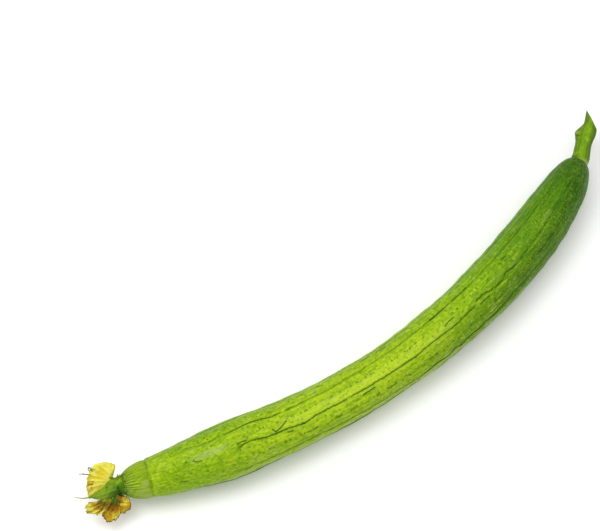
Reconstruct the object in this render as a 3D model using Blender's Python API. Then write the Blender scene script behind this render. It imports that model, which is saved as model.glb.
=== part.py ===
"""A sponge gourd as picked: a long curved fruit lying on its side, with the cut stalk at one end
and the withered yellow flower, its green calyx and its style still on the other.

Lengths are in metres, +Z is up, and the fruit rests on the plane z = 0. The origin is the middle of
the belly. +X runs towards the stalk, and the fruit bulges towards -Y. An arc is a distance along
the fruit's centre line from the neck behind the flower.
"""

import math
from dataclasses import dataclass

import bmesh
import bpy
import numpy as np
from mathutils import Matrix, Vector

# The fruit's centre line
FRUIT_LENGTH = 0.512
MIDDLE_ARC = FRUIT_LENGTH / 2
START_HEADING = math.radians(-18.3)
SWEEP = math.radians(43.0)
SWEEP_FROM = 0.075
SWEEP_POWER = 1.2
NECK_HOOK = math.radians(8.5)
HOOK_POWER = 1.5

# The fruit's thickness
WAIST_RADIUS = 0.0221
HEAD_SWELL, HEAD_AT, HEAD_SPREAD = 0.0022, 0.100, 0.055
TAIL_SWELL, TAIL_AT, TAIL_SPREAD = 0.0018, 0.395, 0.095
RING_ARC = 0.024
RING_RADIUS = 0.0163
RING_CREASE, RING_CREASE_WIDTH = 0.0007, 0.0022
HEAD_FULL_ARC = 0.105
HEAD_POWER = 2.1
NECK_ARC = 0.0014
COLLAR_CROWN_ARC = 0.022
COLLAR_REACH = 0.024
COLLAR_POWER = 1.8
SHOULDER_FROM = 0.400
SHOULDER_POWER, SHOULDER_ROOT = 2.4, 3.4
FRUIT_END_ARC = 0.5108

# The relief of the skin
# A sector has a column of points in its furrow, one at each edge of the furrow and one on the rib
FURROWS = 9
FURROW_SECTOR = 2 * math.pi / FURROWS
FIRST_FURROW = math.radians(114.6)
SECTOR_COLUMNS = (0.0, 0.175, 0.5, 0.825)
FURROW_DEPTH = 0.0006
RIB_HEIGHT = 0.0002
FURROW_FROM, FURROW_TO = 0.060, 0.485
FURROW_FADE = 0.030
WANDER = math.radians(2.2)
COLLAR_RIB_HEIGHT = 0.0005
UNDULATION = 0.0003
COLLAR_RINGS, NECK_RINGS, BODY_RINGS, SHOULDER_RINGS = 9, 9, 70, 9
BODY_FROM, BODY_TO = 0.058, 0.478

# How it rests: the belly stands a little off the surface, apart from three flattened spots
BELLY = math.radians(270.0)
BELLY_FURROW = 4
BELLY_LIFT = 0.0003
NECK_DROOP = 0.0016
BELLY_PRESS = 0.0005
REST_ARCS = (0.092, MIDDLE_ARC, 0.428)
REST_SPREAD = 0.022
SMOOTH_SPREAD = 0.040
BELLY_SPREAD = math.radians(30.0)

# The stalk, in its own frame: +X along the fruit's end, +Y away from the bulge, +Z up
GAP = 0.0003
STALK_LENGTH = 0.0550
STALK_BEND = math.radians(14.0)
STALK_BEND_LENGTH = 0.007
STALK_RADIUS = 0.0070
STALK_FLARE, STALK_FLARE_LENGTH = 0.0006, 0.012
STALK_WIDENING = 0.0024
STALK_WIDENS_FROM, STALK_WIDENS_TO = 0.018, 0.036
KNOB_AT, KNOB_HEIGHT, KNOB_LENGTH, KNOB_WIDTH = 0.0270, 0.0020, 0.0050, 0.8
SCOOP_FROM, SCOOP_TO = 0.0285, 0.0400
SCOOP_DEPTH = 0.0043
STALK_END_HEIGHT = 0.55
STALK_RIBS = 5
STALK_RIB_HEIGHT = 0.0004
STALK_SIDES, STALK_RINGS = 30, 26
CUT_CORNER = (0.0342, -0.0096)
CUT_TIP = (0.0525, 0.0031)
CUT_RISE = (-0.381, -0.183, 0.906)

# The flower, in its own frame: +X out of the fruit, +Y to the side that bulges, +Z up
RECEPTACLE_LENGTH = 0.0046
RECEPTACLE_RADIUS, RECEPTACLE_WAIST = 0.0080, 0.0062
RECEPTACLE_LOBES, RECEPTACLE_LOBE_HEIGHT = 5, 0.0003
RECEPTACLE_SIDES, RECEPTACLE_RINGS = 20, 7
THROAT_START = RECEPTACLE_LENGTH + GAP
THROAT_LENGTH = 0.0030
THROAT_INNER, THROAT_OUTER = 0.0024, 0.0052
THROAT_SIDES = 20
BLADE_THICKNESS = 0.0008
PETAL_ROOT_OUT = THROAT_START + 0.0015
PETAL_ROOT_RADIUS = 0.0038
PETAL_ROOT_REACH = 0.0025
PETAL_TWIST_SHARE = 0.30
PETAL_ROWS, PETAL_COLUMNS = 9, 14
SEPAL_ROOT_OUT = 0.0026
SEPAL_ROOT_RADIUS = 0.0054
SEPAL_ROWS, SEPAL_COLUMNS = 12, 4
THREAD_HALF_WIDTH = 0.0005
STYLE_RADIUS, STYLE_LENGTH = 0.0012, 0.0085
STIGMA_RADIUS, STIGMA_FROM = 0.0019, 0.0050
STIGMA_LOBES, STIGMA_GROOVE = 3, 0.22
STYLE_SIDES, STYLE_RINGS = 12, 9
SHARP_ANGLE = math.radians(50.0)


@dataclass(frozen=True)
class Petal:
    """A petal: its place round the flower, the way its blade turns, and its outline and folds."""

    around: float  # degrees from +Y towards +Z
    lean: float  # degrees from the flower's axis to the midline, at the root
    curl: float  # degrees that the lean grows by from the root to the margin
    twist: float  # degrees that the blade turns about its midline
    length: float
    spread: float  # degrees from the midline to each side
    pleat: float  # height of the folds at the margin
    folds: float
    phase: float
    cup: float  # height of the sides over the midline, as a share of their distance


@dataclass(frozen=True)
class Sepal:
    """A pointed lobe of the calyx that ends in a thread. Its angles are a petal's."""

    around: float
    lean: float
    curl: float
    length: float
    half_width: float
    thread: float  # share of the length


PETALS = (
    Petal(144, 38, 6, -74, 0.0240, 56, 0.0010, 8, 0.4, 0.05),
    Petal(-27, 21, 13, -14, 0.0315, 24, 0.0014, 4, 2.1, -0.15),
    Petal(-40, 60, 20, -56, 0.0265, 30, 0.0012, 5, 1.2, 0.15),
    Petal(-54, 78, 88, 0, 0.0225, 32, 0.0013, 5, 3.0, -0.05),
    Petal(206, 52, 34, 10, 0.0210, 38, 0.0012, 6, 0.9, 0.10),
)
SEPALS = (
    Sepal(44, 24, -14, 0.0390, 0.0052, 0.27),
    Sepal(12, 35, 8, 0.0260, 0.0036, 0.25),
    Sepal(-36, 84, 20, 0.0085, 0.0028, 0.20),
    Sepal(216, 52, 34, 0.0160, 0.0034, 0.25),
    Sepal(140, 88, 40, 0.0085, 0.0026, 0.20),
)


def bell(value, centre, spread):
    """One at the centre, falling smoothly to nothing on both sides."""
    return np.exp(-(((value - centre) / spread) ** 2))


def ramp(value, start, end):
    """Zero before start, one after end, smooth between."""
    share = np.clip((value - start) / (end - start), 0.0, 1.0)
    return share * share * (3.0 - 2.0 * share)


def make_material(name, colour, roughness):
    """A Principled material with one colour."""
    material = bpy.data.materials.new(name)
    material.use_nodes = True
    shader = material.node_tree.nodes["Principled BSDF"]
    shader.inputs["Base Color"].default_value = (*colour, 1.0)
    shader.inputs["Roughness"].default_value = roughness
    shader.inputs["Metallic"].default_value = 0.0
    material.diffuse_color = (*colour, 1.0)
    return material


def make_object(name, points, faces, material):
    """One closed solid from points and faces, facing outwards and shaded smooth."""
    mesh = bpy.data.meshes.new(name)
    mesh.from_pydata(points.tolist(), [], [list(face) for face in faces])
    work = bmesh.new()
    work.from_mesh(mesh)
    bmesh.ops.recalc_face_normals(work, faces=work.faces)
    work.to_mesh(mesh)
    work.free()
    mesh.materials.append(material)
    mesh.shade_smooth()
    mesh.set_sharp_from_angle(angle=SHARP_ANGLE)
    solid = bpy.data.objects.new(name, mesh)
    bpy.context.scene.collection.objects.link(solid)
    return solid


def round_solid(name, rings, material):
    """A closed solid through rings of points, with a fan of triangles over each end."""
    count, sides = rings.shape[:2]
    points = np.concatenate([rings.reshape(-1, 3), rings[:1].mean(axis=1), rings[-1:].mean(axis=1)])
    first_pole = count * sides
    last_pole = first_pole + 1
    faces = []
    for ring in range(count - 1):
        for side in range(sides):
            beside = (side + 1) % sides
            low, high = ring * sides, (ring + 1) * sides
            faces.append((low + side, low + beside, high + beside))
            faces.append((low + side, high + beside, high + side))
    for side in range(sides):
        beside = (side + 1) % sides
        last = (count - 1) * sides
        faces.append((first_pole, beside, side))
        faces.append((last_pole, last + side, last + beside))
    return make_object(name, points, faces, material)


def blade_solid(name, middle, normal, material):
    """A thin closed blade on both sides of a middle surface, split into triangles alike on both faces."""
    rows, columns = middle.shape[:2]
    half = 0.5 * BLADE_THICKNESS * normal
    points = np.concatenate([(middle + half).reshape(-1, 3), (middle - half).reshape(-1, 3)])
    under = rows * columns
    faces = []
    for row in range(rows - 1):
        for column in range(columns - 1):
            a = row * columns + column
            b, c, d = a + 1, a + columns + 1, a + columns
            faces += [(a, b, c), (a, c, d)]
            faces += [(under + a, under + c, under + b), (under + a, under + d, under + c)]
    bottom = list(range(columns))
    right = [row * columns + columns - 1 for row in range(1, rows)]
    top = [(rows - 1) * columns + column for column in range(columns - 2, -1, -1)]
    left = [row * columns for row in range(rows - 2, 0, -1)]
    rim = bottom + right + top + left
    for here, after in zip(rim, rim[1:] + rim[:1]):
        faces += [(here, under + here, under + after), (here, under + after, after)]
    return make_object(name, points, faces, material)


def fuse(name, solids):
    """One body from several that cross: a Boolean union, applied, with any loose scrap dropped."""
    others = bpy.data.collections.new(name + "_parts")
    bpy.context.scene.collection.children.link(others)
    for solid in solids[1:]:
        bpy.context.scene.collection.objects.unlink(solid)
        others.objects.link(solid)
    union = solids[0].modifiers.new("union", "BOOLEAN")
    union.operation = "UNION"
    union.operand_type = "COLLECTION"
    union.collection = others
    union.solver = "EXACT"
    evaluated = solids[0].evaluated_get(bpy.context.evaluated_depsgraph_get())
    mesh = bpy.data.meshes.new_from_object(evaluated)
    solids[0].modifiers.remove(union)
    for solid in solids[1:]:
        bpy.data.objects.remove(solid)
    bpy.data.collections.remove(others)
    keep_largest(mesh)
    mesh.name = name
    solids[0].data = mesh
    solids[0].name = name
    return solids[0]


def keep_largest(mesh):
    """Drop every shell of a mesh but the one with the most faces."""
    work = bmesh.new()
    work.from_mesh(mesh)
    unseen = set(work.verts)
    shells = []
    while unseen:
        shell = []
        front = [unseen.pop()]
        while front:
            vertex = front.pop()
            shell.append(vertex)
            near = [edge.other_vert(vertex) for edge in vertex.link_edges]
            front += [other for other in near if other in unseen]
            unseen.difference_update(near)
        shells.append(shell)
    shells.sort(key=len)
    for shell in shells[:-1]:
        bmesh.ops.delete(work, geom=shell, context="VERTS")
    work.to_mesh(mesh)
    work.free()


def heading(arc):
    """Direction of the centre line in the ground plane: it swings one way along the whole fruit."""
    swing = np.clip((arc - SWEEP_FROM) / (FRUIT_LENGTH - SWEEP_FROM), 0.0, None)
    hook = np.clip((SWEEP_FROM - arc) / SWEEP_FROM, 0.0, 1.0)
    return START_HEADING + SWEEP * swing**SWEEP_POWER - NECK_HOOK * hook**HOOK_POWER


def fruit_radius(arc):
    """The radius from the neck through the collar, the ring and the body to the shoulder."""
    head = HEAD_SWELL * bell(arc, HEAD_AT, HEAD_SPREAD)
    tail = TAIL_SWELL * bell(arc, TAIL_AT, TAIL_SPREAD)
    full = WAIST_RADIUS + head + tail
    fall = np.clip((COLLAR_CROWN_ARC - arc) / COLLAR_REACH, 0.0, 1.0)
    collar = RING_RADIUS * np.sqrt(1.0 - fall**COLLAR_POWER)
    rise = np.clip((arc - RING_ARC) / (HEAD_FULL_ARC - RING_ARC), 0.0, 1.0)
    body = RING_RADIUS + (full - RING_RADIUS) * (1.0 - (1.0 - rise) ** HEAD_POWER)
    end = np.clip((arc - SHOULDER_FROM) / (FRUIT_LENGTH - SHOULDER_FROM), 0.0, 1.0)
    taper = (1.0 - end**SHOULDER_POWER) ** (1.0 / SHOULDER_ROOT)
    crease = RING_CREASE * bell(arc, RING_ARC, RING_CREASE_WIDTH)
    return np.where(arc < RING_ARC, collar, body * taper) - crease


def centre_height(arc):
    """Height of the centre line: the belly's radius, a small lift, and a dip at each rest."""
    resting = sum(bell(arc, at, REST_SPREAD) for at in REST_ARCS)
    carried = fruit_radius(np.clip(arc, REST_ARCS[0], REST_ARCS[-1]))
    droop = NECK_DROOP * (1.0 - ramp(arc, 0.0, REST_ARCS[0]))
    return carried + BELLY_LIFT - droop - (BELLY_LIFT + BELLY_PRESS) * resting


def centre_line(arc):
    """Points of the centre line: its heading summed along it, with its middle at x = y = 0."""
    fine = np.linspace(0.0, FRUIT_LENGTH, 2049)
    turn = heading(0.5 * (fine[1:] + fine[:-1]))
    x = np.concatenate([[0.0], np.cumsum(np.cos(turn))]) * fine[1]
    y = np.concatenate([[0.0], np.cumsum(np.sin(turn))]) * fine[1]
    x = np.interp(arc, fine, x) - np.interp(MIDDLE_ARC, fine, x)
    y = np.interp(arc, fine, y) - np.interp(MIDDLE_ARC, fine, y)
    return np.stack([x, y, centre_height(arc)], axis=-1)


def fruit_angles(arc):
    """Angle of each column round the fruit: the furrows wander, but the belly's stays put."""
    place = np.array([furrow + share for furrow in range(FURROWS) for share in SECTOR_COLUMNS])
    sector = np.floor(place)
    drift = np.sin(31.0 * arc + 1.7 * sector) + 0.6 * np.sin(83.0 * arc + 2.9 * sector)
    straight = FIRST_FURROW + FURROW_SECTOR * place
    on_belly = np.exp(-((np.abs(place - BELLY_FURROW)) ** 2))
    to_belly = BELLY - (FIRST_FURROW + FURROW_SECTOR * BELLY_FURROW)
    body = ramp(arc, FURROW_FROM, FURROW_FROM + 2 * FURROW_FADE)
    angle = straight + to_belly * on_belly + WANDER * body * drift * (1.0 - on_belly)
    return angle, np.broadcast_to(np.arange(len(place)), angle.shape)


def fruit_relief(arc, angle, column):
    """Height of the skin over the plain radius: furrows, ribs, a slow wave and collar ridges."""
    share = column % len(SECTOR_COLUMNS)
    body = ramp(arc, FURROW_FROM, FURROW_FROM + FURROW_FADE)
    body = body * (1.0 - ramp(arc, FURROW_TO - FURROW_FADE, FURROW_TO))
    depth = FURROW_DEPTH * (0.75 + 0.25 * np.sin(57.0 * arc + 2.3 * column))
    furrow = np.where(share == 0, -depth, 0.0) + np.where(share == 2, RIB_HEIGHT, 0.0)
    wave = UNDULATION * np.sin(102.0 * arc + 2.0 * angle) * np.sin(44.0 * arc - angle)
    collar = COLLAR_RIB_HEIGHT * (1.0 - 2.0 * (column % 2)) * (1.0 - ramp(arc, 0.017, RING_ARC))
    resting = sum(bell(arc, at, SMOOTH_SPREAD) for at in REST_ARCS)
    smooth = np.clip(resting, 0.0, 1.0) * bell(angle, BELLY, BELLY_SPREAD)
    return collar + body * (furrow + wave) * (1.0 - smooth)


def fruit_arcs():
    """Arcs of the fruit's rings, closer where its outline turns quickly."""
    collar = np.linspace(0.0, 1.0, COLLAR_RINGS, endpoint=False) ** 1.3
    return np.concatenate([
        NECK_ARC + (RING_ARC - NECK_ARC) * collar,
        np.linspace(RING_ARC, BODY_FROM, NECK_RINGS, endpoint=False),
        np.linspace(BODY_FROM, BODY_TO, BODY_RINGS, endpoint=False),
        FRUIT_END_ARC - (FRUIT_END_ARC - BODY_TO) * np.linspace(1.0, 0.0, SHOULDER_RINGS) ** 1.5,
    ])


def make_fruit(material):
    """The gourd: rings round its curved centre line, pressed flat where it touches the surface."""
    arc = fruit_arcs()[:, None]
    angle, column = fruit_angles(arc)
    radius = fruit_radius(arc) + fruit_relief(arc, angle, column)
    turn = heading(arc)
    side = radius * np.cos(angle)
    centre = centre_line(arc)
    x = centre[..., 0] - side * np.sin(turn)
    y = centre[..., 1] + side * np.cos(turn)
    z = np.maximum(centre[..., 2] + radius * np.sin(angle), 0.0)
    return round_solid("fruit", np.stack([x, y, z], axis=-1), material)


def end_frame(arc, outward):
    """A frame at one end of the fruit: +X out of it, +Z up, and its origin on the end face."""
    x, y, z = centre_line(np.array(arc))
    turn = float(heading(np.array(arc)))
    if outward < 0:
        turn += math.pi
    return Matrix.Translation(Vector((x, y, z))) @ Matrix.Rotation(turn, 4, "Z")


def stalk_rings():
    """Rings of the uncut stalk: ribbed, flared at its foot, with a leaf scar and a scoop above it."""
    length = np.linspace(0.0, 1.0, STALK_RINGS)[:, None] ** 1.1 * STALK_LENGTH
    angle = np.linspace(0.0, 2 * math.pi, STALK_SIDES, endpoint=False)[None, :]
    widening = ramp(length, STALK_WIDENS_FROM, STALK_WIDENS_TO)
    radius = STALK_RADIUS + STALK_FLARE * (1.0 - ramp(length, 0.0, STALK_FLARE_LENGTH))
    radius = radius + STALK_RIB_HEIGHT * np.cos(STALK_RIBS * angle + 0.6)
    knob_around = bell(np.remainder(angle, 2 * math.pi), math.pi / 2, KNOB_WIDTH)
    knob = KNOB_HEIGHT * bell(length, KNOB_AT, KNOB_LENGTH) * knob_around
    y = (radius + knob) * np.sin(angle)
    y = np.where(y < 0.0, y * (1.0 + STALK_WIDENING / STALK_RADIUS * widening), y)
    scoop = SCOOP_DEPTH * ramp(length, SCOOP_FROM, SCOOP_TO) * (0.5 + 0.5 * y / STALK_RADIUS)
    height = 1.0 - (1.0 - STALK_END_HEIGHT) * ramp(length, SCOOP_FROM, STALK_LENGTH)
    z = radius * np.cos(angle) * height
    return np.broadcast_to(length, y.shape), y - scoop, z


def bent(x, y):
    """The stalk's straight shape turned aside just past its foot."""
    fine = np.linspace(0.0, STALK_LENGTH, 401)
    turn = STALK_BEND * ramp(fine, 0.0, STALK_BEND_LENGTH)
    along = np.interp(x, fine, np.cumsum(np.cos(turn)) * fine[1])
    aside = np.interp(x, fine, np.cumsum(np.sin(turn)) * fine[1])
    here = np.interp(x, fine, turn)
    return along - y * np.sin(here), aside + y * np.cos(here)


def make_stalk(material):
    """The stalk, cut off with one slanting cut that leaves a point."""
    x, y, z = stalk_rings()
    along, aside = bent(x, y)
    stalk = round_solid("stalk", np.stack([along, aside, z], axis=-1), material)
    corner = Vector((*bent(np.array(CUT_CORNER[0]), np.array(CUT_CORNER[1])), 0.0))
    tip = Vector((*bent(np.array(CUT_TIP[0]), np.array(CUT_TIP[1])), 0.0))
    along_cut = (tip - corner).normalized()
    outward = along_cut.cross(Vector(CUT_RISE))
    work = bmesh.new()
    work.from_mesh(stalk.data)
    everything = work.verts[:] + work.edges[:] + work.faces[:]
    bmesh.ops.bisect_plane(work, geom=everything, plane_co=corner, plane_no=outward, clear_outer=True)
    rim = [edge for edge in work.edges if edge.is_boundary]
    bmesh.ops.contextual_create(work, geom=rim)
    bmesh.ops.triangulate(work, faces=[face for face in work.faces if len(face.verts) > 4])
    bmesh.ops.recalc_face_normals(work, faces=work.faces)
    work.to_mesh(stalk.data)
    work.free()
    stalk.data.set_sharp_from_angle(angle=SHARP_ANGLE)
    stalk.matrix_world = end_frame(FRUIT_END_ARC, 1) @ Matrix.Translation(Vector((GAP, 0.0, 0.0)))
    return stalk


def blade_frame(around, lean, twist):
    """Sideways direction and normal of a blade along its midline, in the flower's frame."""
    zero = np.zeros_like(lean)
    out = np.stack([np.cos(lean), np.sin(lean) * np.cos(around), np.sin(lean) * np.sin(around)], -1)
    aside = np.stack([zero, zero - np.sin(around), zero + np.cos(around)], -1)
    inner = np.cross(out, aside)
    turn_cos, turn_sin = np.cos(twist)[..., None], np.sin(twist)[..., None]
    return aside * turn_cos + inner * turn_sin, inner * turn_cos - aside * turn_sin


def midline(distance, root, around, lean, curl, length):
    """Points of a blade's midline, whose lean grows evenly from the root to the margin."""
    steps = np.linspace(-length, 2.0 * length, 601)
    angle = lean + curl * np.clip(steps / length, 0.0, 1.0)
    out = np.cumsum(np.cos(angle)) * (steps[1] - steps[0])
    off = np.cumsum(np.sin(angle)) * (steps[1] - steps[0])
    x = root[0] + np.interp(distance, steps, out) - np.interp(0.0, steps, out)
    radius = root[1] + np.interp(distance, steps, off) - np.interp(0.0, steps, off)
    return np.stack([x, radius * np.cos(around), radius * np.sin(around)], axis=-1)


def petal_surface(petal, u, v):
    """The middle surface of a petal and its normals: a fan whose pleats grow towards the margin."""
    ragged = 0.06 * np.sin(9.0 * u + petal.phase) + 0.04 * np.sin(21.0 * u + 2.0 * petal.phase)
    reach = petal.length * (1.0 - 0.22 * np.abs(u) ** 3 + ragged)
    distance = PETAL_ROOT_REACH + v * (reach - PETAL_ROOT_REACH)
    angle = np.radians(petal.spread) * u
    along = distance * np.cos(angle) - PETAL_ROOT_REACH
    across = distance * np.sin(angle)
    share = np.clip(along / petal.length, 0.0, 1.0)
    around = math.radians(petal.around)
    curl = math.radians(petal.curl)
    lean = math.radians(petal.lean) + curl * share
    twist = math.radians(petal.twist) * ramp(share, 0.0, PETAL_TWIST_SHARE)
    aside, normal = blade_frame(around, lean, twist)
    root = (PETAL_ROOT_OUT, PETAL_ROOT_RADIUS)
    centre = midline(along, root, around, math.radians(petal.lean), curl, petal.length)
    pleat = petal.pleat * v**1.5 * np.sin(petal.folds * math.pi * u + petal.phase)
    height = pleat + petal.cup * np.abs(across) * v
    points = centre + across[..., None] * aside + height[..., None] * normal
    return points, normal


def sepal_surface(sepal, u, v):
    """The middle surface of a sepal: broad near its foot, then a point, then a thread."""
    blade = 1.0 - sepal.thread
    share = np.clip(v / blade, 0.0, 1.0)
    half_width = sepal.half_width * (0.55 + 0.45 * np.sin(math.pi * share * 0.9 + 0.3)) * (1.0 - share**3)
    across = u * np.maximum(half_width, THREAD_HALF_WIDTH)
    around = math.radians(sepal.around)
    curl = math.radians(sepal.curl)
    lean = math.radians(sepal.lean) + curl * v
    aside, normal = blade_frame(around, lean, np.zeros_like(v))
    root = (SEPAL_ROOT_OUT, SEPAL_ROOT_RADIUS)
    centre = midline(v * sepal.length, root, around, math.radians(sepal.lean), curl, sepal.length)
    keel = 0.12 * np.abs(across)
    return centre + across[..., None] * aside + keel[..., None] * normal, normal


def blade_grid(rows, columns):
    """Across from -1 to 1 and along from 0 to 1."""
    u, v = np.meshgrid(np.linspace(-1.0, 1.0, columns), np.linspace(0.0, 1.0, rows))
    return u, v


def turned(profile, sides, lobes, lobe_height):
    """Rings about +X through a profile of (distance, radius) points, with lobes round it."""
    angle = np.linspace(0.0, 2 * math.pi, sides, endpoint=False)[None, :]
    radius = profile[:, 1:] + lobe_height[:, None] * np.cos(lobes * angle)
    x = np.broadcast_to(profile[:, :1], radius.shape)
    return np.stack([x, radius * np.cos(angle), radius * np.sin(angle)], axis=-1)


def make_calyx(material):
    """The green receptacle with its sepals."""
    share = np.linspace(0.0, 1.0, RECEPTACLE_RINGS)
    out = GAP + (RECEPTACLE_LENGTH - GAP) * share
    radius = RECEPTACLE_WAIST + (RECEPTACLE_RADIUS - RECEPTACLE_WAIST) * (1.0 - share) ** 2
    lobe = RECEPTACLE_LOBE_HEIGHT * np.sin(math.pi * share)
    rings = turned(np.stack([out, radius], axis=-1), RECEPTACLE_SIDES, RECEPTACLE_LOBES, lobe)
    solids = [round_solid("receptacle", rings, material)]
    u, v = blade_grid(SEPAL_ROWS, SEPAL_COLUMNS)
    for sepal in SEPALS:
        solids.append(blade_solid("sepal", *sepal_surface(sepal, u, v), material))
    return fuse("calyx", solids)


def make_corolla(material):
    """The withered petals, fused to the short ring that they grow from."""
    middle = 0.5 * (THROAT_INNER + THROAT_OUTER)
    half = 0.5 * (THROAT_OUTER - THROAT_INNER)
    angle = np.linspace(0.0, 2 * math.pi, THROAT_SIDES, endpoint=False)
    corners = ((0.0, -half), (0.0, half), (THROAT_LENGTH, half), (THROAT_LENGTH, -half))
    points = []
    for turn in angle:
        for out, off in corners:
            radius = middle + off
            points.append((THROAT_START + out, radius * math.cos(turn), radius * math.sin(turn)))
    faces = []
    for side in range(THROAT_SIDES):
        beside = (side + 1) % THROAT_SIDES
        for corner in range(4):
            after = (corner + 1) % 4
            faces.append((4 * side + corner, 4 * side + after, 4 * beside + after, 4 * beside + corner))
    solids = [make_object("throat", np.array(points), faces, material)]
    u, v = blade_grid(PETAL_ROWS, PETAL_COLUMNS)
    for petal in PETALS:
        solids.append(blade_solid("petal", *petal_surface(petal, u, v), material))
    return fuse("corolla", solids)


def make_style(material):
    """The dried style with its lobed stigma."""
    share = np.linspace(0.0, 1.0, STYLE_RINGS)
    out = share * STYLE_LENGTH
    head = ramp(out, STIGMA_FROM, STIGMA_FROM + 0.0015) * np.sqrt(np.clip(1.0 - share**6, 0.12, 1.0))
    radius = STYLE_RADIUS + (STIGMA_RADIUS - STYLE_RADIUS) * head
    profile = np.stack([THROAT_START + out, radius], axis=-1)
    rings = turned(profile, STYLE_SIDES, STIGMA_LOBES, STIGMA_GROOVE * STIGMA_RADIUS * head)
    return round_solid("style", rings, material)


def main():
    """Clear the scene and build every piece."""
    for thing in list(bpy.data.objects):
        bpy.data.objects.remove(thing)
    make_fruit(make_material("green_skin", (0.24, 0.42, 0.03), 0.42))
    make_stalk(make_material("green_stalk", (0.17, 0.33, 0.03), 0.5))
    flower = end_frame(NECK_ARC, -1)
    for part in (
        make_calyx(make_material("green_calyx", (0.12, 0.26, 0.03), 0.6)),
        make_corolla(make_material("yellow_petal", (0.75, 0.56, 0.10), 0.6)),
        make_style(make_material("dry_style", (0.45, 0.28, 0.08), 0.6)),
    ):
        part.matrix_world = flower


main()
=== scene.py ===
"""A long curved sponge gourd, with its cut stalk and its withered flower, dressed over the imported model.

The fruit, stalk, calyx, corolla and style of the model are each replaced by finer surfaces of the
same form. Every surface is worked out with numpy as a function of two parameters. Lengths are in
metres unless a name or a comment says millimetres.
"""

import logging
import math
from collections.abc import Callable
from dataclasses import dataclass
from enum import Enum
from functools import reduce

import bpy
import numpy as np
from mathutils import Matrix, Vector


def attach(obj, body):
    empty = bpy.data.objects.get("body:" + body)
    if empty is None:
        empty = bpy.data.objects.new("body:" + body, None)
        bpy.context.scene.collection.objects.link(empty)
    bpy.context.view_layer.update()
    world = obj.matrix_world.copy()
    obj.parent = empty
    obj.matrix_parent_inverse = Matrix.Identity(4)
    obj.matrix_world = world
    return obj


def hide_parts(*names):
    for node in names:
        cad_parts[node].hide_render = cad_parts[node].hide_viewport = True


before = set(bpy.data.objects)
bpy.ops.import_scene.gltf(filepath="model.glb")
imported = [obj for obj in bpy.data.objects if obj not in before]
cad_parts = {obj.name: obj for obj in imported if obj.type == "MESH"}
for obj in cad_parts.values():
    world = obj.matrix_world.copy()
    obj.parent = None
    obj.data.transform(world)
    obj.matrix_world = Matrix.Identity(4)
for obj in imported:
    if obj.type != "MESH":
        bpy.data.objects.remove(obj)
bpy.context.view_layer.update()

Array = np.ndarray
Material = bpy.types.Material
Triple = tuple[float, float, float]
Colour = Triple
Knots = tuple[tuple[float, float], ...]
Span = tuple[float, float]
Edges = tuple[float, float, float, float]
Fields = dict[str, Array]
Straight = tuple[Array, Array]
log = logging.getLogger("gourd")

PHOTO_SIZE = (600, 531)
MM = 0.001
WINDOW_POINTS = 9
WINDOW_EDGE = 1.125  # half width of the cosine that weights a window, in the window's half widths
RIPPLE_WAVES = 20


class Slot(Enum):
    """The record's material slots."""

    SKIN = "skin"
    STALK = "stalk"
    CALYX = "calyx"
    PETAL = "petal"
    STYLE = "style"


# Formulas that several pieces share


def bell(value: Array, centre: float, spread: float) -> Array:
    """One at the centre, falling smoothly: exp(-((value - centre) / spread)^2)."""
    return np.exp(-(((value - centre) / spread) ** 2))


def ramp(value: Array, start: float, end: float) -> Array:
    """Zero before start, one after end, and 3t^2 - 2t^3 between."""
    share = np.clip((value - start) / (end - start), 0.0, 1.0)
    return share * share * (3.0 - 2.0 * share)


def window(value: Array, edges: Edges) -> Array:
    """One between the middle two of four edges, falling smoothly to zero at the outer two."""
    return ramp(value, *edges[:2]) * (1.0 - ramp(value, *edges[2:]))


def unit(vectors: Array) -> Array:
    """The vectors, each divided by its length."""
    return vectors / np.linalg.norm(vectors, axis=-1, keepdims=True)


def ring_angles(sides: int) -> Array:
    """Even angles once round, as a row."""
    return np.linspace(0.0, math.tau, sides, endpoint=False)[None, :]


def shares(count: int) -> Array:
    """Even shares from 0 to 1, as a column."""
    return np.linspace(0.0, 1.0, count)[:, None]


def sines(value: Array, waves: tuple[Triple, ...], phase: float) -> Array:
    """A sum of size times the sine of (wave times value plus step times phase)."""
    return sum(size * np.sin(wave * value + step * phase) for size, wave, step in waves)


def through(value: Array, knots: Knots, blur: float) -> Array:
    """A smooth line through (place, height) knots: straight runs averaged over a window.

    Args:
        value: places where the line is wanted.
        knots: places and heights, in order.
        blur: half the window's width.

    Returns:
        The line's height at each value.
    """
    places, heights = np.array(knots).T
    offsets = np.linspace(-blur, blur, WINDOW_POINTS)
    weights = 1.0 + np.cos(math.pi * offsets / (blur * WINDOW_EDGE))
    total = np.zeros_like(value)
    for weight, offset in zip(weights, offsets):
        total = total + weight * np.interp(value + offset, places, heights)
    return total / weights.sum()


@dataclass(frozen=True)
class Ripple:
    """A random smooth field along and round a piece: how fine it is, and which one.

    The waves are the least and most radians per metre along, the turns the most whole waves round.
    """

    waves: Span
    turns: int
    seed: int

    def at(self, across: Array, around: Array, nth: int = 0) -> Array:
        """The sum of cosines of random directions, with whole numbers of waves round the piece.

        Args:
            across: distance along the piece, in metres.
            around: angle round it, in radians.
            nth: which of several fields of this kind.

        Returns:
            The field, of about unit size.
        """
        draw = np.random.default_rng(self.seed + nth)
        total = np.zeros(np.broadcast(across, around).shape)
        for _ in range(RIPPLE_WAVES):
            wave = draw.uniform(*self.waves) * draw.choice((-1.0, 1.0))
            turn = draw.integers(0, self.turns + 1)
            total += np.cos(wave * across + turn * around + draw.uniform(0.0, math.tau))
        return total / math.sqrt(RIPPLE_WAVES / 2.0)


def linear(red: int, green: int, blue: int) -> Colour:
    """A screen colour, 0 to 255, as linear light."""
    screen = (red / 255.0, green / 255.0, blue / 255.0)
    return tuple(s / 12.92 if s <= 0.04045 else ((s + 0.055) / 1.055) ** 2.4 for s in screen)


# Meshes from arrays


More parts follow.
